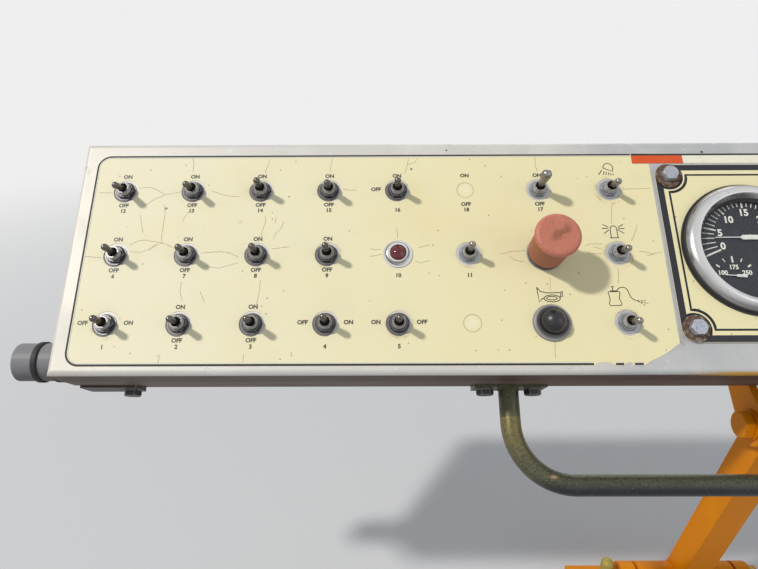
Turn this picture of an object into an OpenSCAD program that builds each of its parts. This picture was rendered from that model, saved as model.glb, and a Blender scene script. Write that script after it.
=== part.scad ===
// Operator's control console of an asphalt paver: a long sloping switch box, its grab handle below the
// front edge, and the leaning strut and foot that carry it.
// X runs along the box, Y away from the operator, Z up. The origin is under the middle of the foot plate.
// Pieces of the box are drawn in the face's own axes: X along it, Y up the slope from the front wall,
// Z square to it, with 0 on the face itself.

/* [Box] */
// Length of the box from end to end
box_w = 1340; // [1300:10:1460]
// Height of the face, measured up the slope
face_h = 226; // [220:1:240]
// Slope of the face above level, in degrees
face_slope = 50; // [42:1:58]
// Thickness of the aluminium sheet
sheet_t = 2; // [1.5:0.1:2.5]
// Outside radius of the folded edges
fold_r = 5; // [3.5:0.5:7]
// Depth of the cover's flanges
flange_d = 52; // [46:1:56]
// Depth of the tray's underside below the face
tray_d = 83; // [81:1:95]
// Depth below the face at which the tray's rim ends, inside the cover
tray_rim = 24; // [15:1:36]
// Gap between the cover's flanges and the tray inside them
nest_gap = 0.3; // [0.2:0.1:0.5]

/* [Switch stations] */
// Distance from the box's end to the first column
col_first = 45; // [42:0.5:48]
// Distance between the first six columns
col_pitch = 63.8; // [60:0.1:64]
// Distance from the sixth column to the seventh, which holds the buttons
col_buttons = 68.5; // [66:0.5:70]
// Distance from the seventh column to the eighth
col_last = 66; // [63:0.5:68]
// Height of the lowest row up the face
row_first = 45; // [42:0.1:48]
// Distance between the rows
row_pitch = 64.4; // [60:0.1:65]

/* [Lever switches] */
// Diameter of the threaded bushing
bush_d = 11.9; // [11:0.1:12.5]
// Height of the bushing above the face
bush_h = 8.5; // [7:0.5:10]
// Width across flats of the switch nut
nut_af = 14.3; // [14:0.1:16]
// Diameter of the washer under the nut
washer_d = 19; // [17.5:0.5:21]
// Reach of the lever from its ball to its tip
lever_l = 19.5; // [15:0.5:24]
// Diameter of the lever's tip
lever_tip_d = 6.2; // [5:0.1:7]

/* [Push buttons and lamp] */
// Diameter of the stop button's cap
stop_d = 39; // [36:1:44]
// Height of the stop button
stop_h = 45; // [38:1:50]
// Height of the stop button's fixed collar
stop_collar_h = 9; // [6:0.5:12]
// Thickness of the flange round the top of the stop button's cap
stop_rim_h = 5.5; // [4:0.5:8]
// Diameter of the horn button's collar
horn_d = 32.5; // [30:0.5:38]
// Height of the horn button's rubber dome
horn_h = 16; // [14:0.5:20]
// Diameter of the pilot lamp's chromed ring
lamp_d = 21; // [19:0.5:24]

/* [Labels] */
// Distance from the box's end to the label's end
label_end = 14; // [10:0.5:20]
// Distance from the front wall to the label's lower edge
label_low = 8; // [6:0.5:10]
// Height of the label up the face
label_h = 204; // [196:0.5:206]
// Corner radius of the label
label_r = 12.7; // [8:0.1:16]
// Thickness of the label
label_t = 0.3; // [0.2:0.1:0.5]
// Diameter of the openings round the controls
label_hole = 23; // [22:0.5:25]
// Width of the narrow strip above the gauges
strip_w = 291; // [260:1:320]
// Height of the narrow strip
strip_h = 9.5; // [8:0.5:10]

/* [Gauges] */
// Width of the gauge plate
plate_w = 254; // [240:1:260]
// Height of the gauge plate
plate_h = 172; // [165:1:176]
// Height of the gauge plate's middle up the face
plate_mid = 113; // [108:0.5:115]
// Thickness of the gauge plate
plate_t = 1.6; // [1:0.1:2.5]
// Distance of the plate's bolts from its edges
plate_edge = 12; // [10.5:0.5:15]
// Diameter of the large gauge's bezel
gauge_d = 124; // [116:1:128]
// Height of the large gauge's bezel above the face
gauge_h = 12.5; // [11:0.5:18]
// Distance of the large gauge from the middle of the plate
gauge_x = 51; // [50:0.5:54]
// Radius of the rolled bezel's round outer edge
bezel_r = 9; // [7:0.5:10]
// Width of the bezel from its outer edge to its foot beside the dial
bezel_w = 15.6; // [14:0.2:16]
// Diameter of the hour meter's bezel
meter_d = 58; // [50:1:62]
// Diameter of the key switch
key_d = 26; // [22:1:30]

/* [Handle] */
// Diameter of the handle's tube
grip_d = 19; // [16:0.5:22]
// Distance between the handle's two legs
grip_w = 530; // [440:10:600]
// Reach of the handle's bar from the front wall
grip_reach = 91; // [75:1:110]
// Depth of the handle below the face
grip_deep = 66.5; // [66:0.5:68]
// Radius of the handle's bends, along the middle of the tube
grip_r = 55; // [35:1:60]
// Width of the plate at each end of the handle
flange_w = 68; // [60:1:80]
// Distance between the two bolts of such a plate
flange_pitch = 45; // [40:1:50]

/* [End tubes] */
// Outside diameter of the tube at each end
tube_d = 36; // [32:0.5:38]
// Wall of the tube
tube_wall = 3; // [2:0.5:4]
// Length of the tube outside the box
tube_l = 62; // [45:1:90]
// Distance of the tube from the tray's front wall
tube_in = 3.5; // [0.5:0.5:8]

/* [Strut] */
// Width of the square strut
strut_w = 32; // [28:1:36]
// Wall of the square strut
strut_wall = 3; // [2:0.5:4]
// Distance of the upper pivot towards the operator from the lower one
lean_y = 78; // [60:1:90]
// Height of the upper pivot above the lower one
rise_z = 288; // [240:1:330]
// Diameter of the two pivot bolts
pivot_d = 16; // [14:1:18]
// Running clearance on radius between the bolts and their bores
bore_gap = 0.08; // [0.04:0.01:0.1]
// Distance of the upper pivot in front of the front wall
pivot_out = 33; // [32:0.5:42]
// Depth of the upper pivot below the face
pivot_deep = 94; // [92:0.5:100]
// Thickness of the fork's cheeks
cheek_t = 8; // [6:1:10]
// Clearance at each side of the strut's ends
side_gap = 0.5; // [0.3:0.1:1]

/* [Foot] */
// Length of the barrel at the strut's lower end
barrel_l = 120; // [90:1:130]
// Diameter of the barrel
barrel_d = 38; // [34:1:42]
// Height of the lower pivot above the underside of the foot
foot_pivot_z = 45; // [40:1:60]
// Length of each of the foot's two knuckles
knuckle_l = 18; // [16:1:28]
// Gap between a knuckle and the barrel
knuckle_gap = 3.5; // [1:0.5:5]
// Length of the foot plate
base_w = 262; // [256:1:300]
// Depth of the foot plate, front to back
base_l = 100; // [84:1:130]
// Thickness of the foot plate
base_t = 10; // [8:1:14]
// Distance between the foot's bolt holes along the plate
base_pitch_x = 222; // [216:1:224]
// Distance between the foot's bolt holes across the plate
base_pitch_y = 60; // [50:1:66]
// Diameter of the foot's bolt holes
base_hole_d = 14; // [11:0.5:16]

/* [Hidden] */
$fn = 96;

aluminium = [0.70, 0.70, 0.71];
cream = [0.94, 0.90, 0.74];
yellow = [0.92, 0.60, 0.05];
gunmetal = [0.42, 0.42, 0.36];
zinc = [0.62, 0.62, 0.60];
black = [0.10, 0.10, 0.11];

// Kinds of control: a lever, a locking lever, a pilot lamp, a stop button, a horn button
LEVER = 1;
LOCK = 2;
LAMP = 3;
STOP = 4;
HORN = 5;
// The controls of one half of the face. Columns: column from the end, row from the front, kind, and how
// far the lever leans up the slope in degrees. Two places of column 5 are blank.
STATIONS = [[0, 0, LEVER, -3], [1, 0, LEVER, -5], [2, 0, LEVER, -5], [3, 0, LEVER, 0], [4, 0, LEVER, -3],
            [6, 0, HORN, 0], [7, 0, LEVER, -14],
            [0, 1, LEVER, -4], [1, 1, LEVER, -5], [2, 1, LEVER, -3], [3, 1, LEVER, -1], [4, 1, LAMP, 0],
            [5, 1, LEVER, 0], [6, 1, STOP, 0], [7, 1, LEVER, -13],
            [0, 2, LEVER, -17], [1, 2, LEVER, -15], [2, 2, LEVER, -4], [3, 2, LEVER, -12],
            [4, 2, LEVER, -6], [6, 2, LOCK, 0], [7, 2, LEVER, -12]];

front_y = -lean_y + pivot_out * cos(face_slope) - pivot_deep * sin(face_slope);
front_z = foot_pivot_z + rise_z + pivot_out * sin(face_slope) + pivot_deep * cos(face_slope);
pan_in = sheet_t + nest_gap;
tray_w = box_w - 2 * pan_in;
tube_y = pan_in + tube_in + tube_d / 2;
tube_z = -tray_d + 4 + tube_d / 2;
washer_t = 1;
nut_h = 2.8;
thread_pitch = 1;
thread_h = 0.35;
lever_ball = 4.2;
lever_z = bush_h - 2.5;
band_w = 5;
flange_t = 4.5;
flange_z0 = -tray_d + fold_r + 0.5;
flange_z1 = -flange_d - 0.5;
flange_mid = (flange_z0 + flange_z1) / 2;
end_plate_w = 52;
gauge_cut = gauge_d - 26;
gasket_d = gauge_d + 3;
button_bore = 22.5;
blank_d = 15.5;
plate_washer_t = 1.6;
plate_bolt_af = 12.7;
stop_foot_d = stop_d - 7;
horn_dome_r = horn_d / 2 - 5.2;
gauge_seat = plate_t + 2;
dial_z = 0.5;
// Pointers of the large gauge. Columns: place across and up from the gauge's middle, angle, reach, width
NEEDLES = [[0, 11, 180, 31, 4.4], [-15, -26, 176, 14, 2.4], [15, -26, 80, 14, 2.4]];
// Torn places at the foot of the left label: its corner beside the gauge plate, then two bites in its edge.
// Columns: place along from that corner, height above the label's lower edge
TORN = [[[1, 19.3], [-3, 16.8], [-9, 12.3], [-15, 8.8], [-21, 6], [-28, 2.8], [-34, -1], [1, -1]],
        [[-75.5, -1], [-74, 0.9], [-70, 2.2], [-65, 2.6], [-60, 1.7], [-57, -1]],
        [[-50, -1], [-48.5, 1.6], [-45, 2.5], [-42.5, 1.4], [-41, -1]]];
meter_y = plate_mid + 32;
key_y = plate_mid - 38;
fork_base_t = 6;
fork_eye_r = 21;
fork_y0 = fold_r + pan_in;
fork_l = 62;
fork_in = strut_w / 2 + side_gap;
fork_out = fork_in + cheek_t;
fork_w = 2 * fork_out + 48;
strut_l = norm([lean_y, rise_z]);
strut_lean = atan2(lean_y, rise_z);
knuckle_in = barrel_l / 2 + knuckle_gap;
knuckle_out = knuckle_in + knuckle_l;

// Place of a column of controls along the box, as a distance from its middle
function col_x(c) = box_w / 2 - col_first - min(c, 5) * col_pitch - (c > 5 ? col_buttons : 0)
    - (c > 6 ? col_last : 0);
function row_y(r) = row_first + r * row_pitch;

// Puts its children in the face's axes
module on_face() {
    translate([0, front_y, front_z]) rotate([face_slope, 0, 0]) children();
}

// Puts its children at each control of the listed kinds, on both halves of the face
module at_stations(kinds) {
    for (side = [-1, 1])
        for (s = STATIONS)
            if (len(search(s[2], kinds)) > 0)
                translate([side * col_x(s[0]), row_y(s[1]), 0]) children();
}

// Section of a sheet folded down at both edges
module fold_section(w, d, r) {
    translate([0, -d]) square([w, d - r]);
    translate([r, -d]) square([w - 2 * r, d]);
    for (x = [r, w - r]) translate([x, -r]) circle(r);
}

// Block with its four upper edges rounded as by a fold, top at 0
module folded_block(w, l, d, r) {
    intersection() {
        translate([-w / 2, 0, 0]) rotate([90, 0, 90]) linear_extrude(w) fold_section(l, d, r);
        translate([-w / 2, l, 0]) rotate([90, 0, 0]) linear_extrude(l) fold_section(w, d, r);
    }
}

module hex(af, h) {
    cylinder(h = h, d = af / cos(30), $fn = 6);
}

// Hexagon bolt head with its washer face, standing on 0
module bolt_head(af, h) {
    cylinder(h = 0.8, d = af * 0.95);
    translate([0, 0, 0.8]) intersection() {
        hex(af, h - 0.8);
        translate([0, 0, -af]) cylinder(h = af + h - 0.8, d1 = af * 3.2, d2 = af * 1.02);
    }
}

module ring(d_out, d_in, h) {
    difference() {
        cylinder(h = h, d = d_out);
        translate([0, 0, -1]) cylinder(h = h + 2, d = d_in);
    }
}

// Cover of the box: one sheet with flanges folded down on all four sides
module face_pan() {
    color(aluminium) on_face() difference() {
        folded_block(box_w, face_h, flange_d, fold_r);
        translate([0, sheet_t, -sheet_t])
            folded_block(box_w - 2 * sheet_t, face_h - 2 * sheet_t, flange_d, fold_r - sheet_t);
        at_stations([LEVER, LOCK, LAMP]) translate([0, 0, -10]) cylinder(h = 20, d = bush_d + 0.4);
        at_stations([STOP, HORN]) translate([0, 0, -10]) cylinder(h = 20, d = button_bore);
        translate([-gauge_x, plate_mid, -10]) cylinder(h = 20, d = gauge_cut + 2);
        translate([gauge_x, meter_y, -10]) cylinder(h = 20, d = meter_d - 4);
        translate([gauge_x, key_y, -10]) cylinder(h = 20, d = key_d - 6);
        for (x = [-1, 1], y = [-1, 1])
            translate([x * (plate_w / 2 - plate_edge), plate_mid + y * (plate_h / 2 - plate_edge), -10])
                cylinder(h = 20, d = 9.8);
        tube_notch();
    }
}

// Way cut through the cover's end flanges for the end tubes
module tube_notch() {
    for (side = [-1, 1])
        translate([side * (box_w / 2 - sheet_t), tube_y, tube_z]) {
            rotate([0, 90, 0]) cylinder(h = 3 * sheet_t, d = tube_d + 1, center = true);
            translate([-1.5 * sheet_t, -tube_d / 2 - 0.5, -tray_d]) cube([3 * sheet_t, tube_d + 1, tray_d]);
        }
}

// Tray that closes the box from below, nested inside the cover
module tray() {
    l = face_h - 2 * pan_in;
    color(aluminium) on_face() difference() {
        translate([0, pan_in, -tray_d]) mirror([0, 0, 1])
            folded_block(tray_w, l, tray_d - tray_rim, fold_r);
        translate([0, pan_in + sheet_t, -tray_d + sheet_t]) mirror([0, 0, 1])
            folded_block(tray_w - 2 * sheet_t, l - 2 * sheet_t, tray_d, fold_r - sheet_t);
    }
}

// Diameter of the label's opening round a control of the given kind
function opening_d(kind) =
    kind == STOP ? stop_foot_d + 1.5 : kind == HORN ? horn_d + 1 : kind == LAMP ? lamp_d + 6 : label_hole;

// Outline of one half's label, seen on the left, from its outer end to the gauge plate
module label_outline(torn) {
    x0 = -box_w / 2 + label_end;
    x1 = -plate_w / 2 - 3;
    y1 = label_low + label_h;
    difference() {
        translate([x0, label_low]) rounded_plate(x1 - x0, label_h, label_r);
        for (s = STATIONS)
            translate([-col_x(s[0]), row_y(s[1])])
                circle(d = opening_d(s[2]));
        translate([-strip_w / 2 - 0.5, y1 - strip_h - 1.5]) square([strip_w, strip_h + 2]);
        if (torn)
            for (p = TORN) translate([x1, label_low]) polygon(p);
    }
}

module rounded_plate(w, h, r) {
    translate([r, 0]) square([w - 2 * r, h]);
    translate([0, r]) square([w, h - 2 * r]);
    for (x = [r, w - r], y = [r, h - r]) translate([x, y]) circle(r);
}

// One half's label, seen on the left, dimpled where it covers the two blanked switch holes
module half_label(torn) {
    difference() {
        linear_extrude(label_t) label_outline(torn);
        for (r = [0, 2])
            translate([-col_x(5), row_y(r), label_t * 0.6]) cylinder(h = 1, d = blank_d);
    }
}

module label_left() {
    color(cream) on_face() half_label(true);
}

module label_right() {
    color(cream) on_face() mirror([1, 0, 0]) half_label(false);
}

module header_strip() {
    color([0.90, 0.42, 0.12]) on_face()
        translate([-strip_w / 2, label_low + label_h - strip_h - 1, 0]) cube([strip_w, strip_h, label_t]);
}

module gauge_plate() {
    color(cream) on_face() translate([0, plate_mid, 0]) difference() {
        translate([-plate_w / 2, -plate_h / 2, 0])
            linear_extrude(plate_t) rounded_plate(plate_w, plate_h, plate_edge);
        translate([-gauge_x, 0, -1]) cylinder(h = 9, d = gauge_cut + 2);
        translate([gauge_x, meter_y - plate_mid, -1]) cylinder(h = 9, d = meter_d - 4);
        translate([gauge_x, key_y - plate_mid, -1]) cylinder(h = 9, d = key_d - 6);
        at_plate_bolts() translate([0, 0, -1]) cylinder(h = 9, d = 9.8);
    }
}

module at_plate_bolts() {
    for (x = [-1, 1], y = [-1, 1])
        translate([x * (plate_w / 2 - plate_edge), y * (plate_h / 2 - plate_edge), 0]) children();
}

module plate_washers() {
    color([0.52, 0.40, 0.30]) on_face() translate([0, plate_mid, plate_t])
        at_plate_bolts() ring(2 * plate_edge - 0.4, 10, plate_washer_t);
}

module plate_bolts() {
    color([0.60, 0.52, 0.44]) on_face() translate([0, plate_mid, plate_t + plate_washer_t]) at_plate_bolts() {
        bolt_head(plate_bolt_af, 6.2);
        translate([0, 0, -12]) cylinder(h = 12, d = 9.5);
    }
}

// Black case of the large gauge, through the face, with the thin flange that its bezel stands on
module gauge_case() {
    color(black) on_face() translate([-gauge_x, plate_mid, 0]) {
        translate([0, 0, plate_t]) ring(gasket_d, gauge_cut - 2, gauge_seat - plate_t);
        difference() {
            translate([0, 0, -40]) cylinder(h = 40 + plate_t, d = gauge_cut);
            translate([0, 0, -1]) cylinder(h = 9, d = gauge_cut - 4);
        }
    }
}

// Chromed bezel: a rolled edge outside, with a cone falling inwards to the dial
module gauge_bezel() {
    r = gauge_d / 2;
    rise = gauge_h - gauge_seat;
    lip = bezel_w - 1.2 * bezel_r;
    color([0.80, 0.81, 0.83]) on_face() translate([-gauge_x, plate_mid, gauge_seat])
        rotate_extrude() difference() {
            intersection() {
                union() {
                    translate([r - bezel_r, rise - bezel_r]) circle(bezel_r);
                    translate([r - bezel_r, 0]) square([bezel_r, max(0.1, rise - bezel_r)]);
                }
                translate([r - bezel_w, 0]) square([bezel_w, rise]);
            }
            polygon([[r - bezel_w - 1, -1], [r - bezel_w, -1], [r - bezel_w, 0.5],
                     [r - bezel_w + lip, rise], [r - bezel_w - 1, rise + 1]]);
        }
}

module gauge_dial() {
    color([0.17, 0.18, 0.21]) on_face() translate([-gauge_x, plate_mid, -1])
        cylinder(h = dial_z + 1, d = gauge_cut - 5);
}

// Pointers: the engine speed's above, those of two small scales below
module gauge_needles() {
    color([0.95, 0.95, 0.93]) on_face() translate([-gauge_x, plate_mid, dial_z])
        for (n = NEEDLES)
            translate([n[0], n[1], 0]) {
                cylinder(h = 2.4, r = n[4] / 2);
                rotate(n[2]) translate([0, 0, 1]) linear_extrude(0.8) needle_outline(n[3], n[4]);
            }
}

// Outline of a pointer: a broad bar over the hub that narrows to a thin tip
module needle_outline(reach, bar) {
    polygon([[-2 * bar, -bar / 2], [-2 * bar, bar / 2], [1.5 * bar, bar / 2], [2 * bar, 0.4],
             [reach, 0.35], [reach, -0.35], [2 * bar, -0.4], [1.5 * bar, -bar / 2]]);
}

module gauge_glass() {
    color([0.8, 0.85, 0.88, 0.4]) on_face() translate([-gauge_x, plate_mid, gauge_seat + 1.5])
        cylinder(h = 1, r = gauge_d / 2 - bezel_w + 0.4);
}

module meter_case() {
    color(black) on_face() translate([gauge_x, meter_y, plate_t]) {
        ring(meter_d, meter_d - 12, 5);
        translate([0, 0, -30]) cylinder(h = 30.5, d = meter_d - 5);
    }
}

module meter_face() {
    color([0.9, 0.9, 0.88]) on_face() translate([gauge_x, meter_y, plate_t + 0.5]) difference() {
        cylinder(h = 1.2, d = meter_d - 12.4);
        translate([-12, -9, 0.7]) cube([24, 7.5, 2]);
    }
}

module meter_glass() {
    color([0.8, 0.85, 0.88, 0.4]) on_face() translate([gauge_x, meter_y, plate_t + 2.6])
        cylinder(h = 1, d = meter_d - 12.4);
}

// Key switch: a knurled nut on the plate and a barrel with its keyway
module key_switch() {
    color([0.75, 0.75, 0.76]) on_face() translate([gauge_x, key_y, plate_t]) difference() {
        union() {
            cylinder(h = 4, d = key_d);
            translate([0, 0, -18]) cylinder(h = 26, d = key_d - 6.5);
        }
        translate([-1.2, -4.5, 3]) cube([2.4, 9, 9]);
    }
}

module toggle_washers() {
    color(zinc) on_face() at_stations([LEVER, LOCK]) ring(washer_d, bush_d + 0.2, washer_t);
}

module toggle_nuts() {
    color(zinc) on_face() at_stations([LEVER, LOCK]) translate([0, 0, washer_t]) difference() {
        intersection() {
            hex(nut_af, nut_h);
            cylinder(h = nut_h, d1 = nut_af + 2 * nut_h, d2 = nut_af);
        }
        translate([0, 0, -1]) cylinder(h = nut_h + 2, d = bush_d + 0.05);
    }
}

// Threaded bushings: ridges above the nut, and a bore down to the lever's ball
module toggle_bushings() {
    r = bush_d / 2;
    bore = lever_ball + 0.25;
    z0 = washer_t + nut_h + 0.2;
    ridges = floor((bush_h - 0.5 - z0) / thread_pitch);
    color(zinc) on_face() at_stations([LEVER, LOCK]) rotate_extrude() difference() {
        translate([0, -6]) square([r, bush_h + 6]);
        for (i = [0:ridges])
            translate([r, z0 + i * thread_pitch])
                polygon([[1, 0], [0, 0], [-thread_h, thread_pitch / 2], [0, thread_pitch],
                         [1, thread_pitch]]);
        translate([0, lever_z]) circle(bore);
        translate([-1, lever_z]) square([bore + 1, bush_h]);
    }
}

// Bat levers at the lean they were left in, each on its ball in the bushing
module toggle_levers() {
    color([0.78, 0.78, 0.80]) on_face()
        for (side = [-1, 1])
            for (s = STATIONS)
                if (s[2] == LEVER || s[2] == LOCK)
                    translate([side * col_x(s[0]), row_y(s[1]), lever_z]) rotate([-s[3], 0, 0])
                        bat(s[2] == LOCK ? lever_l + 8 : lever_l, s[2] == LOCK ? 9.5 : lever_tip_d);
}

module bat(l, d) {
    rotate_extrude() {
        difference() {
            circle(lever_ball);
            translate([-20, -10]) square([20, 20]);
        }
        polygon([[0, 0], [2.3, 0], [d / 2, l - d / 2 - 1], [d / 2, l - d / 2], [0, l - d / 2]]);
        intersection() {
            translate([0, l - d / 2]) circle(d / 2);
            square([20, l + 20]);
        }
    }
}

module lamp_rings() {
    color([0.80, 0.80, 0.82]) on_face() at_stations([LAMP]) {
        ring(26, 11, 1.2);
        translate([0, 0, 1.2]) rotate_extrude() difference() {
            square([lamp_d / 2, 3.8]);
            translate([-1, -1]) square([lamp_d / 2 - 1.9, 9]);
            translate([lamp_d / 2, 3.8]) circle(1.2);
        }
        translate([0, 0, -12]) ring(bush_d, 8, 13.2);
    }
}

module lamp_lenses() {
    color([0.55, 0.08, 0.12]) on_face() at_stations([LAMP]) translate([0, 0, 1.2]) rotate_extrude() {
        square([lamp_d / 2 - 3.2, 3]);
        intersection() {
            translate([0, 3 - 6]) circle(9.6);
            translate([0, 2.5]) square([lamp_d / 2 - 3.2, 9]);
        }
    }
}

module stop_collars() {
    color(zinc) on_face() at_stations([STOP]) {
        ring(stop_foot_d, button_bore - 1, 2);
        ring(stop_foot_d - 4, button_bore - 1, stop_collar_h);
        translate([0, 0, -20]) ring(button_bore - 0.5, 14, 21);
    }
}

// Deep cap: a skirt that widens slightly upwards, and a flange with a round edge at its top
module stop_caps() {
    r = stop_d / 2;
    foot = stop_foot_d / 2 + 0.5;
    z0 = stop_collar_h + 0.3;
    z1 = stop_h - stop_rim_h;
    color([0.82, 0.44, 0.40]) on_face() at_stations([STOP]) rotate_extrude() {
        polygon([[0, z0], [foot - 2, z0], [foot - 2, z0 - 2.5], [foot, z0 - 2.5],
                 [r - 2, z1 + 1], [0, z1 + 1]]);
        translate([0, z1]) square([r - 1, stop_rim_h - 3.5]);
        translate([0, z1 + 1]) square([r, stop_rim_h - 4.5]);
        translate([r - 1, z1 + 1]) circle(1, $fn = 24);
        translate([0, z1 + 1]) square([r - 3.5, stop_rim_h - 1]);
        translate([r - 3.5, stop_h - 3.5]) circle(3.5, $fn = 48);
    }
}

module horn_collars() {
    color([0.25, 0.25, 0.27]) on_face() at_stations([HORN]) {
        rotate_extrude() difference() {
            square([horn_d / 2, 4.5]);
            translate([-1, -1]) square([horn_dome_r + 1.4, 9]);
            translate([horn_d / 2, 4.5]) circle(2.2);
        }
        translate([0, 0, -20]) ring(button_bore - 0.5, 14, 21);
        ring(2 * horn_dome_r + 0.8, 14, 1);
    }
}

module horn_domes() {
    side = horn_h - 1.2 - horn_dome_r;
    color(black) on_face() at_stations([HORN]) translate([0, 0, 1.2]) rotate_extrude() {
        square([horn_dome_r, side]);
        translate([0, side]) intersection() {
            circle(horn_dome_r);
            square([horn_dome_r, horn_dome_r]);
        }
    }
}

// Bent grab handle: a bar between two legs, in one plane below the front edge
module handle_bar() {
    r = grip_d / 2;
    leg = grip_reach - grip_r - flange_t;
    color(gunmetal) on_face() translate([0, pan_in, -grip_deep]) {
        for (side = [-1, 1]) {
            translate([side * grip_w / 2, -flange_t, 0]) rotate([90, 0, 0]) cylinder(h = leg, r = r);
            translate([side * (grip_w / 2 - grip_r), -flange_t - leg, 0])
                rotate([0, 0, side > 0 ? -90 : 180]) rotate_extrude(angle = 90)
                    translate([grip_r, 0]) circle(r);
        }
        translate([0, -grip_reach, 0]) rotate([0, 90, 0])
            cylinder(h = grip_w - 2 * grip_r, r = r, center = true);
    }
}

module handle_flanges() {
    color(gunmetal) on_face()
        for (side = [-1, 1])
            translate([side * grip_w / 2, pan_in, 0])
                flange(flange_w, flange_t, [-flange_pitch / 2, flange_pitch / 2]);
}

// Plate on the tray's front wall, with its bolt holes at the given places along it
module flange(w, t, holes) {
    difference() {
        translate([-w / 2, -t, flange_z0]) cube([w, t, flange_z1 - flange_z0]);
        for (x = holes)
            translate([x, 1, flange_mid]) rotate([90, 0, 0]) cylinder(h = t + 2, d = 8.4);
    }
}

module handle_bolts() {
    color([0.28, 0.27, 0.28]) on_face()
        for (side = [-1, 1], x = [-1, 1])
            translate([side * grip_w / 2 + x * flange_pitch / 2, pan_in - flange_t, flange_mid])
                wall_bolt(flange_t);
}

// Small hexagon bolt whose head faces down the slope and whose shank stops at the tray's wall
module wall_bolt(t) {
    rotate([90, 0, 0]) {
        bolt_head(14.3, 6);
        translate([0, 0, -t]) cylinder(h = t, d = 8);
    }
}

module end_tubes() {
    color([0.42, 0.42, 0.43]) on_face()
        for (side = [-1, 1])
            translate([side * tray_w / 2, tube_y, tube_z]) rotate([0, side * 90, 0])
                ring(tube_d, tube_d - 2 * tube_wall, tube_l);
}

module tube_bands() {
    color(black) on_face()
        for (side = [-1, 1])
            translate([side * (tray_w / 2 + 20), tube_y, tube_z]) rotate([0, side * 90, 0])
                ring(tube_d + 2.5, tube_d + 0.1, band_w);
}

module end_plates() {
    color([0.25, 0.25, 0.26]) on_face()
        for (side = [-1, 1])
            translate([side * (box_w / 2 - 4 - end_plate_w / 2), pan_in, 0])
                flange(end_plate_w, flange_t, [-side * 19]);
}

module end_bolts() {
    color([0.25, 0.25, 0.26]) on_face()
        for (side = [-1, 1])
            translate([side * (box_w / 2 - 4 - end_plate_w / 2 - 19), pan_in - flange_t, flange_mid])
                wall_bolt(flange_t);
}

// Fork under the box's front corner: a plate bolted to the tray and two cheeks out to the upper pivot
module lug_fork() {
    color(yellow) on_face() difference() {
        union() {
            translate([-fork_w / 2, fork_y0, -tray_d - fork_base_t]) cube([fork_w, fork_l, fork_base_t]);
            for (side = [-1, 1])
                translate([side * (fork_in + cheek_t / 2) - cheek_t / 2, 0, 0])
                    rotate([90, 0, 90]) linear_extrude(cheek_t) cheek_outline();
        }
        translate([0, -pivot_out, -pivot_deep]) rotate([0, 90, 0])
            cylinder(h = 4 * fork_out, d = pivot_d + 2 * bore_gap, center = true);
        at_fork_bolts() translate([0, 0, -fork_base_t - 1]) cylinder(h = fork_base_t + 2, d = 10.5);
    }
}

// Cheek: an arm from the pivot back to the plate's front edge, and a tapering rib below the plate
module cheek_outline() {
    top = -tray_d - fork_base_t + 0.01;
    hull() {
        translate([-pivot_out, -pivot_deep]) circle(fork_eye_r, $fn = 48);
        translate([fork_y0 + 1, top - 30]) square([3, 30]);
    }
    polygon([[fork_y0 + 1, top], [fork_y0 + fork_l - 6, top], [fork_y0 + fork_l - 6, top - 5],
             [fork_y0 + 4, top - 30]]);
}

module at_fork_bolts() {
    for (x = [-1, 1], y = [14, fork_l - 14])
        translate([x * (fork_out + 12), fork_y0 + y, -tray_d]) children();
}

module fork_bolts() {
    color(yellow) on_face() at_fork_bolts() mirror([0, 0, 1]) {
        translate([0, 0, fork_base_t]) bolt_head(16, 6.5);
        cylinder(h = fork_base_t, d = 10);
    }
}

// Bolt through a pivot, along X, with its head at the left and a nut at the right
module pivot_bolt(half, af) {
    rotate([0, 90, 0]) {
        cylinder(h = 2 * half + 20, d = pivot_d, center = true);
        for (side = [-1, 1])
            mirror([0, 0, side < 0 ? 1 : 0]) translate([0, 0, half]) {
                cylinder(h = 2.5, d = af * 1.25);
                translate([0, 0, 2.5]) bolt_head(af, side < 0 ? 10 : 13);
            }
    }
}

module upper_bolt() {
    color(yellow) translate([0, -lean_y, foot_pivot_z + rise_z]) pivot_bolt(fork_out, 24);
}

// Round pin through the foot's knuckles, with its left end bent up and a collar at its right
module hinge_pin() {
    bend = pivot_d;
    x0 = -knuckle_out - 1;
    color(zinc) translate([0, 0, foot_pivot_z]) {
        translate([x0, 0, 0]) rotate([0, 90, 0]) cylinder(h = knuckle_out - x0 + 14, d = pivot_d);
        translate([x0, 0, bend]) rotate([90, 0, 0]) rotate([0, 0, 180]) rotate_extrude(angle = 90)
            translate([bend, 0]) circle(pivot_d / 2);
        translate([x0 - bend, 0, bend]) {
            cylinder(h = 6, d = pivot_d);
            translate([0, 0, 6]) sphere(d = pivot_d);
        }
        translate([knuckle_out, 0, 0]) rotate([0, 90, 0]) cylinder(h = 9, d = pivot_d + 10);
    }
}

// Strut: square tube with a cross eye at its top and a long barrel at its foot
module strut() {
    color(yellow) translate([0, 0, foot_pivot_z]) rotate([strut_lean, 0, 0]) difference() {
        union() {
            difference() {
                translate([-strut_w / 2, -strut_w / 2, 0]) cube([strut_w, strut_w, strut_l]);
                translate([-strut_w / 2 + strut_wall, -strut_w / 2 + strut_wall, -1])
                    cube([strut_w - 2 * strut_wall, strut_w - 2 * strut_wall, strut_l + 2]);
            }
            translate([0, 0, strut_l]) rotate([0, 90, 0]) cylinder(h = strut_w, d = strut_w, center = true);
            rotate([0, 90, 0]) cylinder(h = barrel_l, d = barrel_d, center = true);
        }
        for (z = [0, strut_l])
            translate([0, 0, z]) rotate([0, 90, 0])
                cylinder(h = barrel_l + 2, d = pivot_d + 2 * bore_gap, center = true);
    }
}

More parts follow.
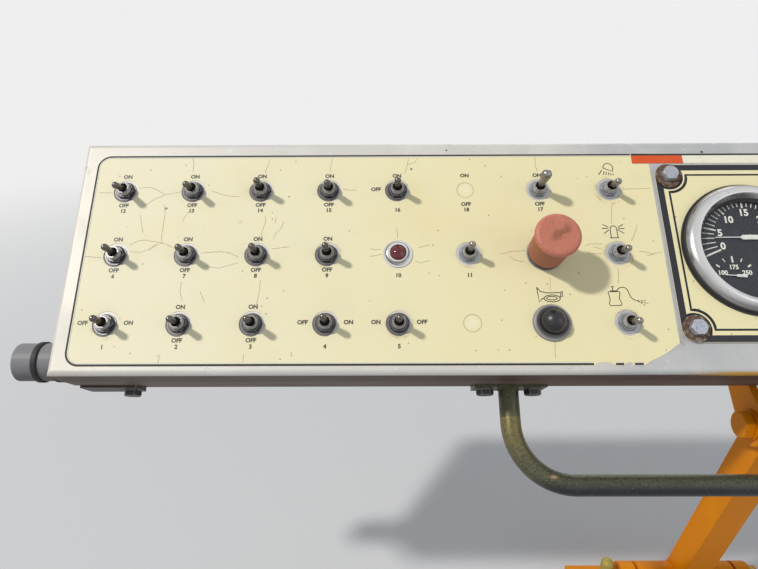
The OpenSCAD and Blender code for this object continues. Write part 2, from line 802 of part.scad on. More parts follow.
// Foot: a base plate with two knuckles on webs as long as themselves
module foot_bracket() {
    r = barrel_d / 2;
    color(yellow) difference() {
        union() {
            translate([-base_w / 2, -base_l / 2, 0]) cube([base_w, base_l, base_t]);
            for (side = [-1, 1])
                translate([side * (knuckle_in + knuckle_l / 2) - knuckle_l / 2, 0, 0]) {
                    translate([0, 0, foot_pivot_z]) rotate([0, 90, 0]) cylinder(h = knuckle_l, r = r);
                    translate([0, -r, base_t / 2]) cube([knuckle_l, 2 * r, foot_pivot_z - base_t / 2]);
                }
        }
        translate([0, 0, foot_pivot_z]) rotate([0, 90, 0])
            cylinder(h = 4 * knuckle_out, d = pivot_d + 2 * bore_gap, center = true);
        for (x = [-1, 1], y = [-1, 1])
            translate([x * base_pitch_x / 2, y * base_pitch_y / 2, -1])
                cylinder(h = base_t + 2, d = base_hole_d);
    }
}

face_pan();
tray();
label_left();
label_right();
header_strip();
gauge_plate();
plate_washers();
plate_bolts();
gauge_case();
gauge_bezel();
gauge_dial();
gauge_needles();
gauge_glass();
meter_case();
meter_face();
meter_glass();
key_switch();
toggle_washers();
toggle_nuts();
toggle_bushings();
toggle_levers();
lamp_rings();
lamp_lenses();
stop_collars();
stop_caps();
horn_collars();
horn_domes();
handle_bar();
handle_flanges();
handle_bolts();
end_tubes();
tube_bands();
end_plates();
end_bolts();
lug_fork();
fork_bolts();
upper_bolt();
strut();
foot_bracket();
hinge_pin();
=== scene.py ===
# %% [markdown]
# # Control console of an asphalt paver
# The object is the operator's switch box of a paver: a long box of aluminium sheet with a sloping face,
# cream labels full of lever switches, a gauge plate in the middle, a bent grab handle under the front
# edge, and a leaning strut that carries it all on a hinged foot.
#
# The solid pieces come ready made, at their real size. This lesson gives each of them its finish, and
# adds what is printed, scratched or welded on them. First the solids are loaded.

# %% Load the solids
import math
import random

import bmesh
import bpy
from mathutils import Matrix, Vector


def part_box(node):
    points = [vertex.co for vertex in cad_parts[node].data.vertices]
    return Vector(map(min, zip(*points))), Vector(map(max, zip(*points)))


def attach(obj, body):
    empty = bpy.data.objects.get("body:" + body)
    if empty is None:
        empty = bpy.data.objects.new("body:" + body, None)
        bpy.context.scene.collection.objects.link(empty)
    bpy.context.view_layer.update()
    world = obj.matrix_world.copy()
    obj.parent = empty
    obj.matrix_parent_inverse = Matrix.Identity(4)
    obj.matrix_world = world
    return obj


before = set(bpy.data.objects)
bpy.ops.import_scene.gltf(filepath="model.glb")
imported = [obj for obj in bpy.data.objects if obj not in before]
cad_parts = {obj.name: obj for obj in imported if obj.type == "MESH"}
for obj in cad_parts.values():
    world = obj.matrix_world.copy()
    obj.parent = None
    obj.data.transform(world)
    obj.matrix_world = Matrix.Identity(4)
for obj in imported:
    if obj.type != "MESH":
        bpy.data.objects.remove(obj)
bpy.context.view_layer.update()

# %% [markdown]
# Everything on the face is easiest to place in the face's own axes: X along the box from its middle,
# Y up the slope from the front wall, and Z square to the face. The box's own corners say where those
# axes lie, once the slope and the depth of the folded flange are known. Sizes are written in
# millimetres. FACE turns them into the metres that Blender works in, and so does a factor of MM.

# %% Axes of the sloping face
MM = 0.001
SLOPE = math.radians(50)
FLANGE = 52 * MM
FOLD = 5 * MM

pan_low, pan_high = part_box("face_pan")
front_z = pan_low.z + FLANGE * math.cos(SLOPE)
front_y = pan_low.y - FOLD * (math.cos(SLOPE) + math.sin(SLOPE) - 1)
HALF_W = (pan_high.x - pan_low.x) / 2 / MM
FACE = Matrix.Translation((0, front_y, front_z)) @ Matrix.Rotation(SLOPE, 4, "X") @ Matrix.Scale(MM, 4)
print("half the box is", round(HALF_W), "mm long, front edge at z =", round(front_z, 4))

# %% [markdown]
# The camera stands where the operator's eyes would be, to the left of the middle, and looks down at the
# left half of the face. Its lens is a moderately wide one. Its place is given in the face's axes, and the
# two directions are those that make the box's edges and switch rows fall where they do in a picture of
# 758 by 569 dots.

# %% Camera
CAMERA_AT = FACE @ Vector((-384.5, -81.4, 479.1))
LOOK = Vector((-0.0051, 0.9316, -0.3634)).normalized()
CAMERA_UP = Vector((0.0035, 0.3634, 0.9316))
LENS = 27.07
SENSOR = 36

side = LOOK.cross(CAMERA_UP).normalized()
above = side.cross(LOOK)
camera = bpy.data.objects.new("camera", bpy.data.cameras.new("camera"))
camera.data.lens = LENS
camera.data.sensor_width = SENSOR
camera.data.sensor_fit = "HORIZONTAL"
camera.data.clip_start = 10 * MM
camera.matrix_world = Matrix.Translation(CAMERA_AT) @ Matrix((side, above, -LOOK)).transposed().to_4x4()
bpy.context.scene.collection.objects.link(camera)
bpy.context.scene.camera = camera
bpy.context.scene.view_settings.view_transform = "Standard"
print("camera tilts down by", round(math.degrees(math.asin(-LOOK.z)), 1), "degrees")

# %% [markdown]
# A finish is a small network of shader nodes. Laying out such a network by hand takes many lines, so a
# helper keeps each step to one call: add a node with its settings and its inputs, or one of the kinds
# that return again and again. An input gets either a number or another node's output. Colours are
# written as screen values from 0 to 255, and turned into the linear values that the renderer works with.

# %% Helpers for colours and shader nodes
def paint(red, green, blue):
    """Linear colour of a screen colour given as values from 0 to 255."""
    shares = [value / 255 for value in (red, green, blue)]
    linear = [v / 12.92 if v <= 0.04045 else ((v + 0.055) / 1.055) ** 2.4 for v in shares]
    return (*linear, 1.0)


def empty_tree(owner):
    """The node tree of a world or a material, cleared of the nodes that it starts with."""
    owner.use_nodes = True
    owner.node_tree.nodes.clear()
    return owner.node_tree


class Wiring:
    """Short calls that add and join the nodes of one tree."""

    def __init__(self, tree):
        self.tree = tree

    def feed(self, socket, value):
        """Gives a socket a number or colour, or joins another node's output to it."""
        if isinstance(value, bpy.types.NodeSocket):
            self.tree.links.new(value, socket)
        else:
            socket.default_value = value

    def add(self, kind, inputs=(), **settings):
        """A new node. inputs maps the names or numbers of its sockets to what feeds them."""
        node = self.tree.nodes.new("ShaderNode" + kind)
        for name, value in settings.items():
            setattr(node, name, value)
        for socket, value in dict(inputs).items():
            self.feed(node.inputs[socket], value)
        return node

    def math(self, operation, first, second=0.0):
        return self.add("Math", {0: first, 1: second}, operation=operation).outputs[0]

    def size(self, value):
        """A number without its sign."""
        return self.math("ABSOLUTE", value)

    def times(self, first, *others):
        """Product of several numbers."""
        for other in others:
            first = self.math("MULTIPLY", first, other)
        return first

    def most(self, masks):
        """The largest of several masks."""
        largest = 0.0
        for mask in masks:
            largest = self.math("MAXIMUM", largest, mask)
        return largest

    def window(self, value, low, high):
        """0 below low, 1 above high, and a soft step between; low may be the larger."""
        return self.add("MapRange", {"Value": value, "From Min": low, "From Max": high},
                        interpolation_type="SMOOTHSTEP").outputs[0]

    def zone(self, place, low, high):
        """A window along one coordinate, with its ends in millimetres."""
        return self.window(place, low * MM, high * MM)

    def mix(self, mask, first, second):
        """Colour between first and second."""
        return self.add("Mix", {0: mask, 6: first, 7: second}, data_type="RGBA").outputs[2]

    def blend(self, mask, first, second):
        """Number between first and second."""
        return self.add("Mix", {0: mask, 2: first, 3: second}, data_type="FLOAT").outputs[0]

    def noise(self, vector, scale, detail=4.0, roughness=0.55):
        return self.add("TexNoise", {"Vector": vector, "Scale": scale, "Detail": detail,
                                     "Roughness": roughness}).outputs["Fac"]

    def place(self, vector, move=(0, 0, 0), turn=(0, 0, 0), stretch=(1, 1, 1), kind="POINT"):
        """The coordinates moved, turned and stretched."""
        return self.add("Mapping", {"Vector": vector, "Location": move, "Rotation": turn,
                                    "Scale": stretch}, vector_type=kind).outputs[0]

    def split(self, vector):
        """X, Y and Z of a vector."""
        return self.add("SeparateXYZ", {0: vector}).outputs

    def group(self, name, **values):
        """The output of a node group that gets these values."""
        return self.add("Group", values, node_tree=bpy.data.node_groups[name]).outputs[0]


print("cream is", [round(v, 3) for v in paint(239, 230, 190)])

# %% [markdown]
# The stage is plain: a pale world, and a wide pale floor that fades out into it. A real studio would
# have a curved backdrop. A floor that turns transparent with distance is simpler, leaves no corner to
# light, and still catches the object's shadow. The world shows its full brightness only to the camera
# and in reflections. What it sheds on the object is weaker, so pale pieces keep their tone.

# %% World
AMBIENT = 0.37
AMBIENT_TINT = (0.90, 0.97, 1.06, 1.0)
BACKDROP = 0.86

world = bpy.data.worlds.new("studio")
bpy.context.scene.world = world
air = Wiring(empty_tree(world))
rays = air.add("LightPath")
seen = air.math("MAXIMUM", rays.outputs["Is Camera Ray"], rays.outputs["Is Transmission Ray"])
seen = air.math("MAXIMUM", seen, rays.outputs["Is Glossy Ray"])
dim = air.add("Background", {"Color": AMBIENT_TINT, "Strength": AMBIENT})
pale = air.add("Background", {"Color": (BACKDROP, BACKDROP, BACKDROP, 1.0)})
choice = air.add("MixShader", {0: seen, 1: dim.outputs[0], 2: pale.outputs[0]})
air.add("OutputWorld", {"Surface": choice.outputs[0]})
print("the world shows", BACKDROP, "and sheds", AMBIENT)

# %% Floor
FLOOR_R = 9.0
FLOOR_TONE = 0.62
FADE_FROM, FADE_TO = 0.8, 4.0

bm = bmesh.new()
bmesh.ops.create_circle(bm, cap_ends=True, radius=FLOOR_R, segments=96)
floor = bpy.data.objects.new("floor", bpy.data.meshes.new("floor"))
bm.to_mesh(floor.data)
bm.free()
bpy.context.scene.collection.objects.link(floor)

floor_paint = bpy.data.materials.new("floor_paint")
ground = Wiring(empty_tree(floor_paint))
diffuse = ground.add("BsdfDiffuse", {"Color": (FLOOR_TONE, FLOOR_TONE, FLOOR_TONE, 1.0)})
away = ground.add("VectorMath", {0: ground.add("TexCoord").outputs["Object"]}, operation="LENGTH")
fade = ground.add("MixShader", {0: ground.window(away.outputs["Value"], FADE_FROM, FADE_TO),
                                1: diffuse.outputs[0],
                                2: ground.add("BsdfTransparent").outputs[0]})
ground.add("OutputMaterial", {"Surface": fade.outputs[0]})
floor.data.materials.append(floor_paint)
print("the floor fades out between", FADE_FROM, "and", FADE_TO, "m from the middle")

# %% [markdown]
# Three lamps light the box. The key lamp hangs high on the left behind the operator's shoulder, far off
# and small, so that each lever throws one clear shadow to the right. The two others are wide, weak and
# near. They stand on the right and behind the box, and only keep the shaded sides from going black.

# %% Lamps
LAMP_AIM = Vector((-0.25, -0.05, 0.45))
# Columns: name, place, watts, size of the square lamp, colour
LAMPS = [("key_lamp", (-5.18, -2.79, 6.12), 450, 0.5, (1.0, 0.975, 0.94)),
         ("fill_lamp", (1.6, -1.6, 1.4), 8, 1.6, (0.93, 0.96, 1.0)),
         ("back_lamp", (0.4, 2.0, 1.9), 12, 1.4, (1.0, 1.0, 1.0))]
for name, place, watts, size, colour in LAMPS:
    lamp = bpy.data.objects.new(name, bpy.data.lights.new(name, "AREA"))
    lamp.data.energy = watts
    lamp.data.size = size
    lamp.data.color = colour
    way = (LAMP_AIM - Vector(place)).to_track_quat("-Z", "Y")
    lamp.matrix_world = Matrix.Translation(place) @ way.to_matrix().to_4x4()
    lamp.visible_camera = False
    bpy.context.scene.collection.objects.link(lamp)
print("lamps:", [row[0] for row in LAMPS])

# %% [markdown]
# Years of work leave the same few marks on every piece, so each mark is made once, as a shader group
# with its own values. The first is wear along edges: a Bevel node gives the direction that the surface
# would have if its edges were rounded, and where that differs from the true direction there is an edge.
# Noise breaks the mark up, because paint never wears off evenly. The second is a stain, which is noise
# cut off at a level: its coverage sets the level, and its seed picks another pattern.

# %% Shader groups for worn edges and stains
def new_group(name, numbers, vectors=("Vector",)):
    """Wiring, inputs and output socket of a new group with vector inputs and float inputs."""
    tree = bpy.data.node_groups.new(name, "ShaderNodeTree")
    for socket in vectors:
        tree.interface.new_socket(socket, in_out="INPUT", socket_type="NodeSocketVector")
    for socket, number in numbers.items():
        made = tree.interface.new_socket(socket, in_out="INPUT", socket_type="NodeSocketFloat")
        made.default_value = number
    tree.interface.new_socket("Mask", in_out="OUTPUT", socket_type="NodeSocketFloat")
    start = tree.nodes.new("NodeGroupInput")
    end = tree.nodes.new("NodeGroupOutput")
    return Wiring(tree), start.outputs, end.inputs[0]


wires, given, result = new_group("edge_wear", {"Radius": 0.001, "Scale": 90.0, "Amount": 0.5})
rounded = wires.add("Bevel", {"Radius": given["Radius"]}, samples=6)
true_way = wires.add("NewGeometry").outputs["Normal"]
turned = wires.add("VectorMath", {0: rounded.outputs[0], 1: true_way}, operation="DOT_PRODUCT")
edge = wires.window(turned.outputs["Value"], 0.999, 0.90)
patch = wires.noise(given["Vector"], given["Scale"], 5, 0.65)
spared = wires.math("SUBTRACT", 1.0, given["Amount"])
rubbed = wires.window(patch, spared, wires.math("ADD", spared, 0.12))
wires.feed(result, wires.times(edge, rubbed))

wires, given, result = new_group("stain", {"Scale": 10.0, "Coverage": 0.5, "Softness": 0.2, "Seed": 0.0})
cloud = wires.add("TexNoise", {"Detail": 5.0, "Roughness": 0.6}, noise_dimensions="4D")
for socket, source in (("Vector", "Vector"), ("W", "Seed"), ("Scale", "Scale")):
    wires.feed(cloud.inputs[socket], given[source])
low = wires.math("SUBTRACT", 0.85, wires.times(given["Coverage"], 0.7))
wires.feed(result, wires.window(cloud.outputs["Fac"], low, wires.math("ADD", low, given["Softness"])))
print("groups:", sorted(tree.name for tree in bpy.data.node_groups))

# %% [markdown]
# Three more marks are sharper. Specks are the middles of Voronoi cells, of which a share is drawn by
# lot. Scratches follow the lines where a slow noise crosses its middle value, which gives thin curves
# without any drawing. A halo is a ring round one place, such as the rust round one switch. With a
# radius of 0 it is a disc that fades towards its rim.

# %% Shader groups for specks, scratches and halos
wires, given, result = new_group("speck", {"Scale": 200.0, "Size": 0.25, "Share": 0.2})
cells = wires.add("TexVoronoi", {"Vector": given["Vector"], "Scale": given["Scale"]})
lot = wires.add("SeparateColor", {0: cells.outputs["Color"]}).outputs[0]
dot = wires.window(cells.outputs["Distance"], given["Size"], wires.times(given["Size"], 0.5))
wires.feed(result, wires.times(dot, wires.math("LESS_THAN", lot, given["Share"])))

wires, given, result = new_group("scratch", {"Scale": 14.0, "Width": 0.004, "Share": 0.5})
wave = wires.add("TexNoise", {"Vector": given["Vector"], "Scale": given["Scale"], "Detail": 1.0})
offset = wires.size(wires.math("SUBTRACT", wave.outputs["Fac"], 0.5))
line = wires.window(offset, given["Width"], 0.0)
where = wires.noise(given["Vector"], wires.times(given["Scale"], 0.37), 2)
kept = wires.window(where, wires.math("SUBTRACT", 1.0, given["Share"]), 0.95)
wires.feed(result, wires.times(line, kept))

wires, given, result = new_group("halo", {"Radius": 0.012, "Width": 0.002}, ("Vector", "Centre"))
apart = wires.add("VectorMath", {0: given["Vector"], 1: given["Centre"]}, operation="DISTANCE")
off = wires.size(wires.math("SUBTRACT", apart.outputs["Value"], given["Radius"]))
wires.feed(result, wires.window(off, given["Width"], 0.0))
print("groups:", sorted(tree.name for tree in bpy.data.node_groups))

# %% [markdown]
# Every finish starts alike, so a class holds what they share: a material with one Principled shader, and
# two sets of coordinates. The first is the object's own. The second is the same turned into the face's
# axes, so that a stain can sit beside one particular switch. A finish begins with a base colour, and
# each coat covers a part of what lies below it, as dirt and wear do on the real thing.

# %% Finishes
class Finish(Wiring):
    """A material with one Principled shader, its coordinates, and the colour that it has so far."""

    def __init__(self, name, roughness=0.5, metallic=0.0):
        self.material = bpy.data.materials.new(name)
        super().__init__(empty_tree(self.material))
        self.shader = self.add("BsdfPrincipled", {"Roughness": roughness, "Metallic": metallic})
        self.add("OutputMaterial", {"Surface": self.shader.outputs[0]})
        self.spot = self.add("TexCoord").outputs["Object"]
        self.on_face = self.place(self.spot, (0, front_y, front_z), (SLOPE, 0, 0), kind="TEXTURE")

    def give(self, socket, value):
        """Sets one value of the shader."""
        self.feed(self.shader.inputs[socket], value)

    def base(self, colour):
        """The colour that the coats begin with."""
        self.colour = colour
        self.give("Base Color", colour)

    def coat(self, colour, mask, strength=1.0):
        """Covers what lies below with a colour, where the mask is."""
        share = mask if strength == 1.0 else self.times(mask, strength)
        self.base(self.mix(share, self.colour, colour))

    def rough_up(self, height, strength, distance):
        """Presses a height pattern into the surface, at most as deep as distance, in millimetres."""
        bump = self.add("Bump", {"Strength": strength, "Distance": distance * MM, "Height": height})
        self.give("Normal", bump.outputs[0])

    def worn_edge(self, radius, scale, amount):
        return self.group("edge_wear", Vector=self.spot, Radius=radius * MM, Scale=scale, Amount=amount)

    def stain(self, scale, coverage, softness, seed):
        return self.group("stain", Vector=self.spot, Scale=scale, Coverage=coverage, Softness=softness,
                          Seed=seed)

    def speck(self, vector, scale, size, share):
        return self.group("speck", Vector=vector, Scale=scale, Size=size, Share=share)

    def scratch(self, vector, scale, width, share):
        return self.group("scratch", Vector=vector, Scale=scale, Width=width, Share=share)

    def halo(self, place, radius, width, vector=None):
        """A ring about a place on the face, or with radius 0 a disc, all in millimetres."""
        centre = tuple(number * MM for number in place)
        return self.group("halo", Vector=self.on_face if vector is None else vector, Centre=centre,
                          Radius=radius * MM, Width=width * MM)

    def dress(self, *nodes):
        """Puts the finish on solid pieces."""
        for name in nodes:
            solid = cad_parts[name]
            if not solid.material_slots:
                solid.data.materials.append(self.material)
            for slot in solid.material_slots:
                slot.material = self.material


print("a finish has", len(bpy.data.node_groups), "kinds of marks to choose from")

# %% [markdown]
# Some marks sit at one switch, so the grid of switches comes before the first finish. Each half has
# eight columns and three rows. The first six columns are evenly spaced, and the two that hold the
# buttons and the last levers stand a little further apart. Most places hold a lever, so only the others
# are listed. The right half mirrors the left.

# %% Grid of switches
COL_FIRST, COL_PITCH, COL_BUTTONS, COL_LAST = 45, 63.8, 68.5, 66
ROW_FIRST, ROW_PITCH = 45, 64.4
# Places without a plain lever: column from the end and row from the front, and what is there
OTHERS = {(6, 0): "horn", (4, 1): "lamp", (6, 1): "stop", (6, 2): "lock", (5, 0): "blank", (5, 2): "blank"}
STATIONS = [(column, row, OTHERS.get((column, row), "lever")) for row in range(3) for column in range(8)]


def station(column, row, half=-1):
    """Place of a control in the face's axes, in millimetres. half is -1 on the left and 1 on the right."""
    inward = COL_FIRST + min(column, 5) * COL_PITCH
    inward += COL_BUTTONS * (column > 5) + COL_LAST * (column > 6)
    return half * (HALF_W - inward), ROW_FIRST + row * ROW_PITCH


def beside(column, row, half, across, up, height):
    """A place near a control: so far across and up the face from it, at a height above the face."""
    x, s = station(column, row, half)
    return x + across, s + up, height


print(len(STATIONS), "places, the first at", station(0, 0), "and the last at", station(7, 2))

# %% [markdown]
# The box is bare aluminium sheet. Years of gloves have scuffed it: the metal is blotchy, finely
# scratched in every direction, and bright along the folds. It has stayed brighter towards the ends than
# round the gauge plate, where most hands reach. Metallic is kept low, because a weathered sheet
# scatters light almost as paint does. A true mirror with a rough surface would turn dark wherever it
# reflects nothing bright.

# %% Bare metal of the sheet
sheet = Finish("sheet_aluminium", 0.55, 0.2)
along = sheet.place(sheet.spot, stretch=(0.08, 1, 1))
crosswise = sheet.place(sheet.spot, turn=(0.4, 0.7, 1.1))
brushed = sheet.noise(along, 900, 3)
blotch = sheet.stain(scale=16, coverage=0.6, softness=0.35, seed=3)
grease = sheet.stain(scale=34, coverage=0.34, softness=0.12, seed=8)
flecks = sheet.stain(scale=150, coverage=0.36, softness=0.1, seed=14)
fine = sheet.scratch(sheet.spot, scale=30, width=0.012, share=0.62)
cross = sheet.scratch(crosswise, scale=48, width=0.010, share=0.6)
wear = sheet.worn_edge(radius=2.2, scale=60, amount=0.7)
nick = sheet.speck(sheet.spot, scale=90, size=0.16, share=0.06)
x, s, h = sheet.split(sheet.on_face)
bright_end = sheet.zone(sheet.size(x), 150, 220)
sheet.base(sheet.mix(blotch, sheet.mix(bright_end, paint(184, 184, 184), paint(208, 204, 197)),
                     sheet.mix(bright_end, paint(204, 203, 199), paint(220, 216, 209))))
sheet.coat(paint(108, 102, 96), grease, 0.55)
sheet.coat(paint(214, 214, 214), fine, 0.5)
sheet.coat(paint(122, 120, 116), cross, 0.45)
sheet.coat(paint(222, 220, 216), flecks, 0.6)
sheet.coat(paint(228, 228, 228), wear)
sheet.coat(paint(74, 66, 58), nick)
print("bare metal takes", len(sheet.tree.nodes), "nodes")

# %% [markdown]
# Four marks have a place of their own: a pale film at the box's left end, black grease round the outer
# switches, painted shade over the front wall, and a line of yellow overspray along the front bend near the
# middle. The painted shade is brown, as a painted reflection of the ground, and lighter towards the wall's
# lower edge. Each is the product of zones along the face's axes. The grease is the same on both halves, so
# its discs are drawn once, in coordinates whose X has lost its sign.

# %% Stains and painted shade on the sheet
film = sheet.times(sheet.zone(x, -600, -660), sheet.zone(h, -6, -3))
sheet.coat(paint(202, 196, 182), film, 0.5)

both_halves = sheet.add("CombineXYZ", {"X": sheet.size(x), "Y": s, "Z": h}).outputs[0]
outer_levers = [(column, row) for column, row, kind in STATIONS if column < 5 and kind == "lever"]
greasy = sheet.most(sheet.halo(beside(column, row, 1, 2.1, -1.6, 0), 0, 12.5, both_halves)
                    for column, row in outer_levers)
sheet.coat(paint(84, 80, 80), sheet.window(greasy, 0.04, 0.09), 0.85)

# Painted shade over the front wall: brown as a painted reflection of the ground, lighter near its lower edge,
# and with the metal's sheen taken away.
in_front = sheet.zone(s, 8, 5)
patchy = sheet.blend(sheet.noise(sheet.place(sheet.spot, stretch=(0.3, 1, 1)), 60), 0.93, 1.0)
dirt_and_shade = sheet.times(sheet.zone(h, -2.2, -4.4), in_front, patchy)
sheet.coat(sheet.mix(sheet.zone(h, -26, -38), paint(56, 34, 20), paint(84, 62, 48)), dirt_and_shade)

spray = sheet.times(sheet.zone(x, -140, -80), sheet.zone(x, 90, 50), sheet.zone(h, -0.3, -1.2),
                    sheet.zone(h, -8.5, -5), in_front, sheet.window(sheet.noise(along, 160, 3), 0.30, 0.50))
sheet.coat(paint(206, 152, 30), spray, 0.9)

sheet.give("Metallic", sheet.blend(sheet.math("MAXIMUM", dirt_and_shade, spray), 0.22, 0.0))
sheet.give("Roughness", sheet.blend(blotch, 0.52, 0.64))
sheet.give("Specular IOR Level", 0.3)
height = sheet.math("ADD", sheet.times(brushed, 0.25), sheet.times(fine, -0.6))
sheet.rough_up(sheet.math("ADD", height, sheet.times(nick, -1.0)), 0.35, 0.2)
sheet.dress("face_pan", "tray")
print("grease lies round", len(outer_levers), "switches of each half")

# %% [markdown]
# The labels are printed sheets that have yellowed in the sun, more so towards the gauges. Their cream
# is uneven: warmer where it has aged, greyer where dust has settled, with small dark specks. Noise gives
# all of that. Water has run off some switches and left brown halos of rust, and two switch holes of each
# label are blanked, so a round plug shows through, with a ring of painted shade round it. These marks
# belong to single places, so tables name them.

# %% Marks at single places of the labels
# Columns: column, row, radius of the halo
HALOS = [(7, 0, 12.6), (7, 1, 12.4), (7, 2, 13.4), (0, 0, 12.2), (4, 0, 12.0), (5, 1, 11.6),
         (3, 1, 11.8)]
BLANKS = [(column, row, half) for column, row, kind in STATIONS if kind == "blank" for half in (-1, 1)]
BLANK_R = 7.75
LABEL_TOP = 0.3
SMUDGE_X, SMUDGE_Y, SMUDGE_SQUASH = -512.5, 141.9, 0.6


def smudge_mask(vinyl):
    """One long smudge: a disc in coordinates that are squashed along the box."""
    squashed = vinyl.place(vinyl.on_face, stretch=(SMUDGE_SQUASH, 1, 1))
    return vinyl.halo((SMUDGE_X * SMUDGE_SQUASH, SMUDGE_Y, LABEL_TOP), 0, 4.2, squashed)


print("halos of rust:", len(HALOS), "blank places:", len(BLANKS))

# %% Label vinyl
def cream_vinyl(name, low_edge):
    """Yellowed print. Below low_edge, in millimetres above the face, the sheet's bare grey edge shows."""
    vinyl = Finish(name, 0.6)
    vinyl.give("Specular IOR Level", 0.25)
    aged = vinyl.stain(scale=9, coverage=0.55, softness=0.4, seed=1)
    dusty = vinyl.stain(scale=26, coverage=0.42, softness=0.35, seed=5)
    brown = vinyl.stain(scale=42, coverage=0.2, softness=0.2, seed=9)
    broken = vinyl.stain(scale=120, coverage=0.62, softness=0.4, seed=2)
    dots = vinyl.speck(vinyl.spot, scale=210, size=0.2, share=0.07)
    spots = vinyl.speck(vinyl.place(vinyl.spot, (0.3, 0.1, 0.2)), scale=70, size=0.11, share=0.10)
    rust = vinyl.most(vinyl.halo(beside(column, row, -1, 0.6, -1.2, LABEL_TOP), radius, 2.4)
                      for column, row, radius in HALOS)
    plug = vinyl.most(vinyl.halo(beside(*blank, 0, 0, LABEL_TOP), 0, BLANK_R) for blank in BLANKS)
    # A ring of painted shade round each blank.
    rim = vinyl.most(vinyl.halo(beside(*blank, 0, 0, LABEL_TOP), BLANK_R, 0.9) for blank in BLANKS)
    x, s, h = vinyl.split(vinyl.on_face)
    inner = vinyl.zone(vinyl.size(x), 580, 240)

    vinyl.base(vinyl.mix(aged, vinyl.mix(inner, paint(241, 233, 199), paint(240, 229, 182)),
                         vinyl.mix(inner, paint(238, 226, 180), paint(238, 221, 164))))
    vinyl.coat(paint(224, 218, 186), dusty, 0.7)
    vinyl.coat(paint(214, 188, 134), brown, 0.35)
    vinyl.coat(paint(246, 242, 216), plug, 0.5)
    # The ring of painted shade round the blanks.
    vinyl.coat(paint(176, 158, 112), rim, 0.6)
    vinyl.coat(paint(158, 112, 66), vinyl.times(rust, broken), 0.75)
    vinyl.coat(paint(150, 116, 84), vinyl.times(smudge_mask(vinyl), broken), 0.7)
    vinyl.coat(paint(128, 112, 78), dots, 0.7)
    vinyl.coat(paint(96, 84, 60), spots, 0.8)
    vinyl.coat(paint(176, 178, 176), vinyl.math("LESS_THAN", h, low_edge * MM))

    vinyl.give("Roughness", vinyl.blend(dusty, 0.55, 0.68))
    grain = vinyl.noise(vinyl.spot, 1400, 2)
    vinyl.rough_up(vinyl.math("ADD", vinyl.times(grain, 0.3), vinyl.times(aged, 0.7)), 0.12, 0.3)
    return vinyl


cream_vinyl("label_vinyl", 0.0).dress("label_left", "label_right")
cream_vinyl("plate_vinyl", 1.5).dress("gauge_plate")
print("vinyls:", [m.name for m in bpy.data.materials if "vinyl" in m.name])

# %% [markdown]
# The narrow strip above the gauges is one printed sheet, orange at its left end and white along the
# rest, with a dark line along its upper edge. Each colour ends at a place along one axis of the face, so
# a very narrow zone of that coordinate is enough, and no second piece of sheet is needed.

# %% Orange and white strip
STRIP_CHANGE = -97.1
STRIP_TOP = 211
strip = Finish("strip_print", 0.42)
x, s, h = strip.split(strip.on_face)
white_end = strip.zone(x, STRIP_CHANGE - 0.1, STRIP_CHANGE + 0.1)
top_line = strip.zone(s, STRIP_TOP - 1.2, STRIP_TOP - 1.0)
faded = strip.stain(scale=55, coverage=0.5, softness=0.3, seed=4)
dirt_and_shade = strip.speck(strip.spot, scale=260, size=0.22, share=0.15)
orange = strip.mix(faded, paint(218, 82, 24), paint(222, 98, 42))
white = strip.mix(faded, paint(240, 235, 212), paint(220, 214, 192))
strip.base(strip.mix(white_end, orange, white))
strip.coat(paint(98, 84, 66), dirt_and_shade, 0.6)
strip.coat(paint(52, 50, 42), top_line)
strip.rough_up(faded, 0.08, 0.2)
strip.dress("header_strip")
print("strip turns white at x =", STRIP_CHANGE, "mm")

# %% [markdown]
# Small hardware is plated steel in several states. The four washers of the gauge plate are rusted
# brown almost all over, and their bolts only in blotches. The switches keep their nickel, dull with
# tarnish in the threads, and black with old grease towards the box's ends. One function makes all of
# these from a plating colour, a rust colour and the share of rust. A table of them is easier to tune
# than a dozen networks.

# %% Plated and rusting steel
GREASY_FROM = 350


def plated_steel(name, plating, tarnish, rust, rust_share, scale, roughness, metallic, greasy):
    """Steel whose plating has tarnished and rusted. greasy darkens the pieces near the box's ends."""
    steel = Finish(name, roughness, metallic)
    dull = steel.stain(scale=scale, coverage=0.5, softness=0.3, seed=6)
    rusted = steel.stain(scale=scale * 1.7, coverage=rust_share, softness=0.1, seed=7)
    pits = steel.speck(steel.spot, scale=scale * 6, size=0.3, share=0.2)
    wear = steel.worn_edge(radius=0.6, scale=scale * 3, amount=0.96)
    dark_rust = tuple(0.45 * value for value in paint(*rust)[:3]) + (1.0,)
    steel.base(steel.mix(dull, paint(*plating), paint(*tarnish)))
    steel.coat(paint(225, 224, 220), wear, 0.7)
    steel.coat(steel.mix(steel.noise(steel.spot, scale * 5, 4), paint(*rust), dark_rust), rusted)
    steel.coat(paint(60, 46, 34), pits, 0.5)
    if greasy:
        x, s, h = steel.split(steel.on_face)
        outer = steel.zone(steel.size(x), GREASY_FROM - 10, GREASY_FROM + 10)
        streaks = steel.blend(steel.noise(steel.spot, 500, 3), 0.8, 1.15)
        film = steel.math("MINIMUM", steel.times(outer, greasy, streaks), 1.0)
        steel.coat(steel.mix(wear, paint(50, 46, 50), paint(196, 192, 190)), film)
    steel.give("Metallic", steel.blend(rusted, metallic, 0.1))
    steel.give("Roughness", steel.blend(rusted, roughness, 0.85))
    grain = steel.noise(steel.spot, scale * 8, 3)
    steel.rough_up(steel.math("ADD", steel.times(rusted, 0.6), grain), 0.1, 0.2)
    return steel


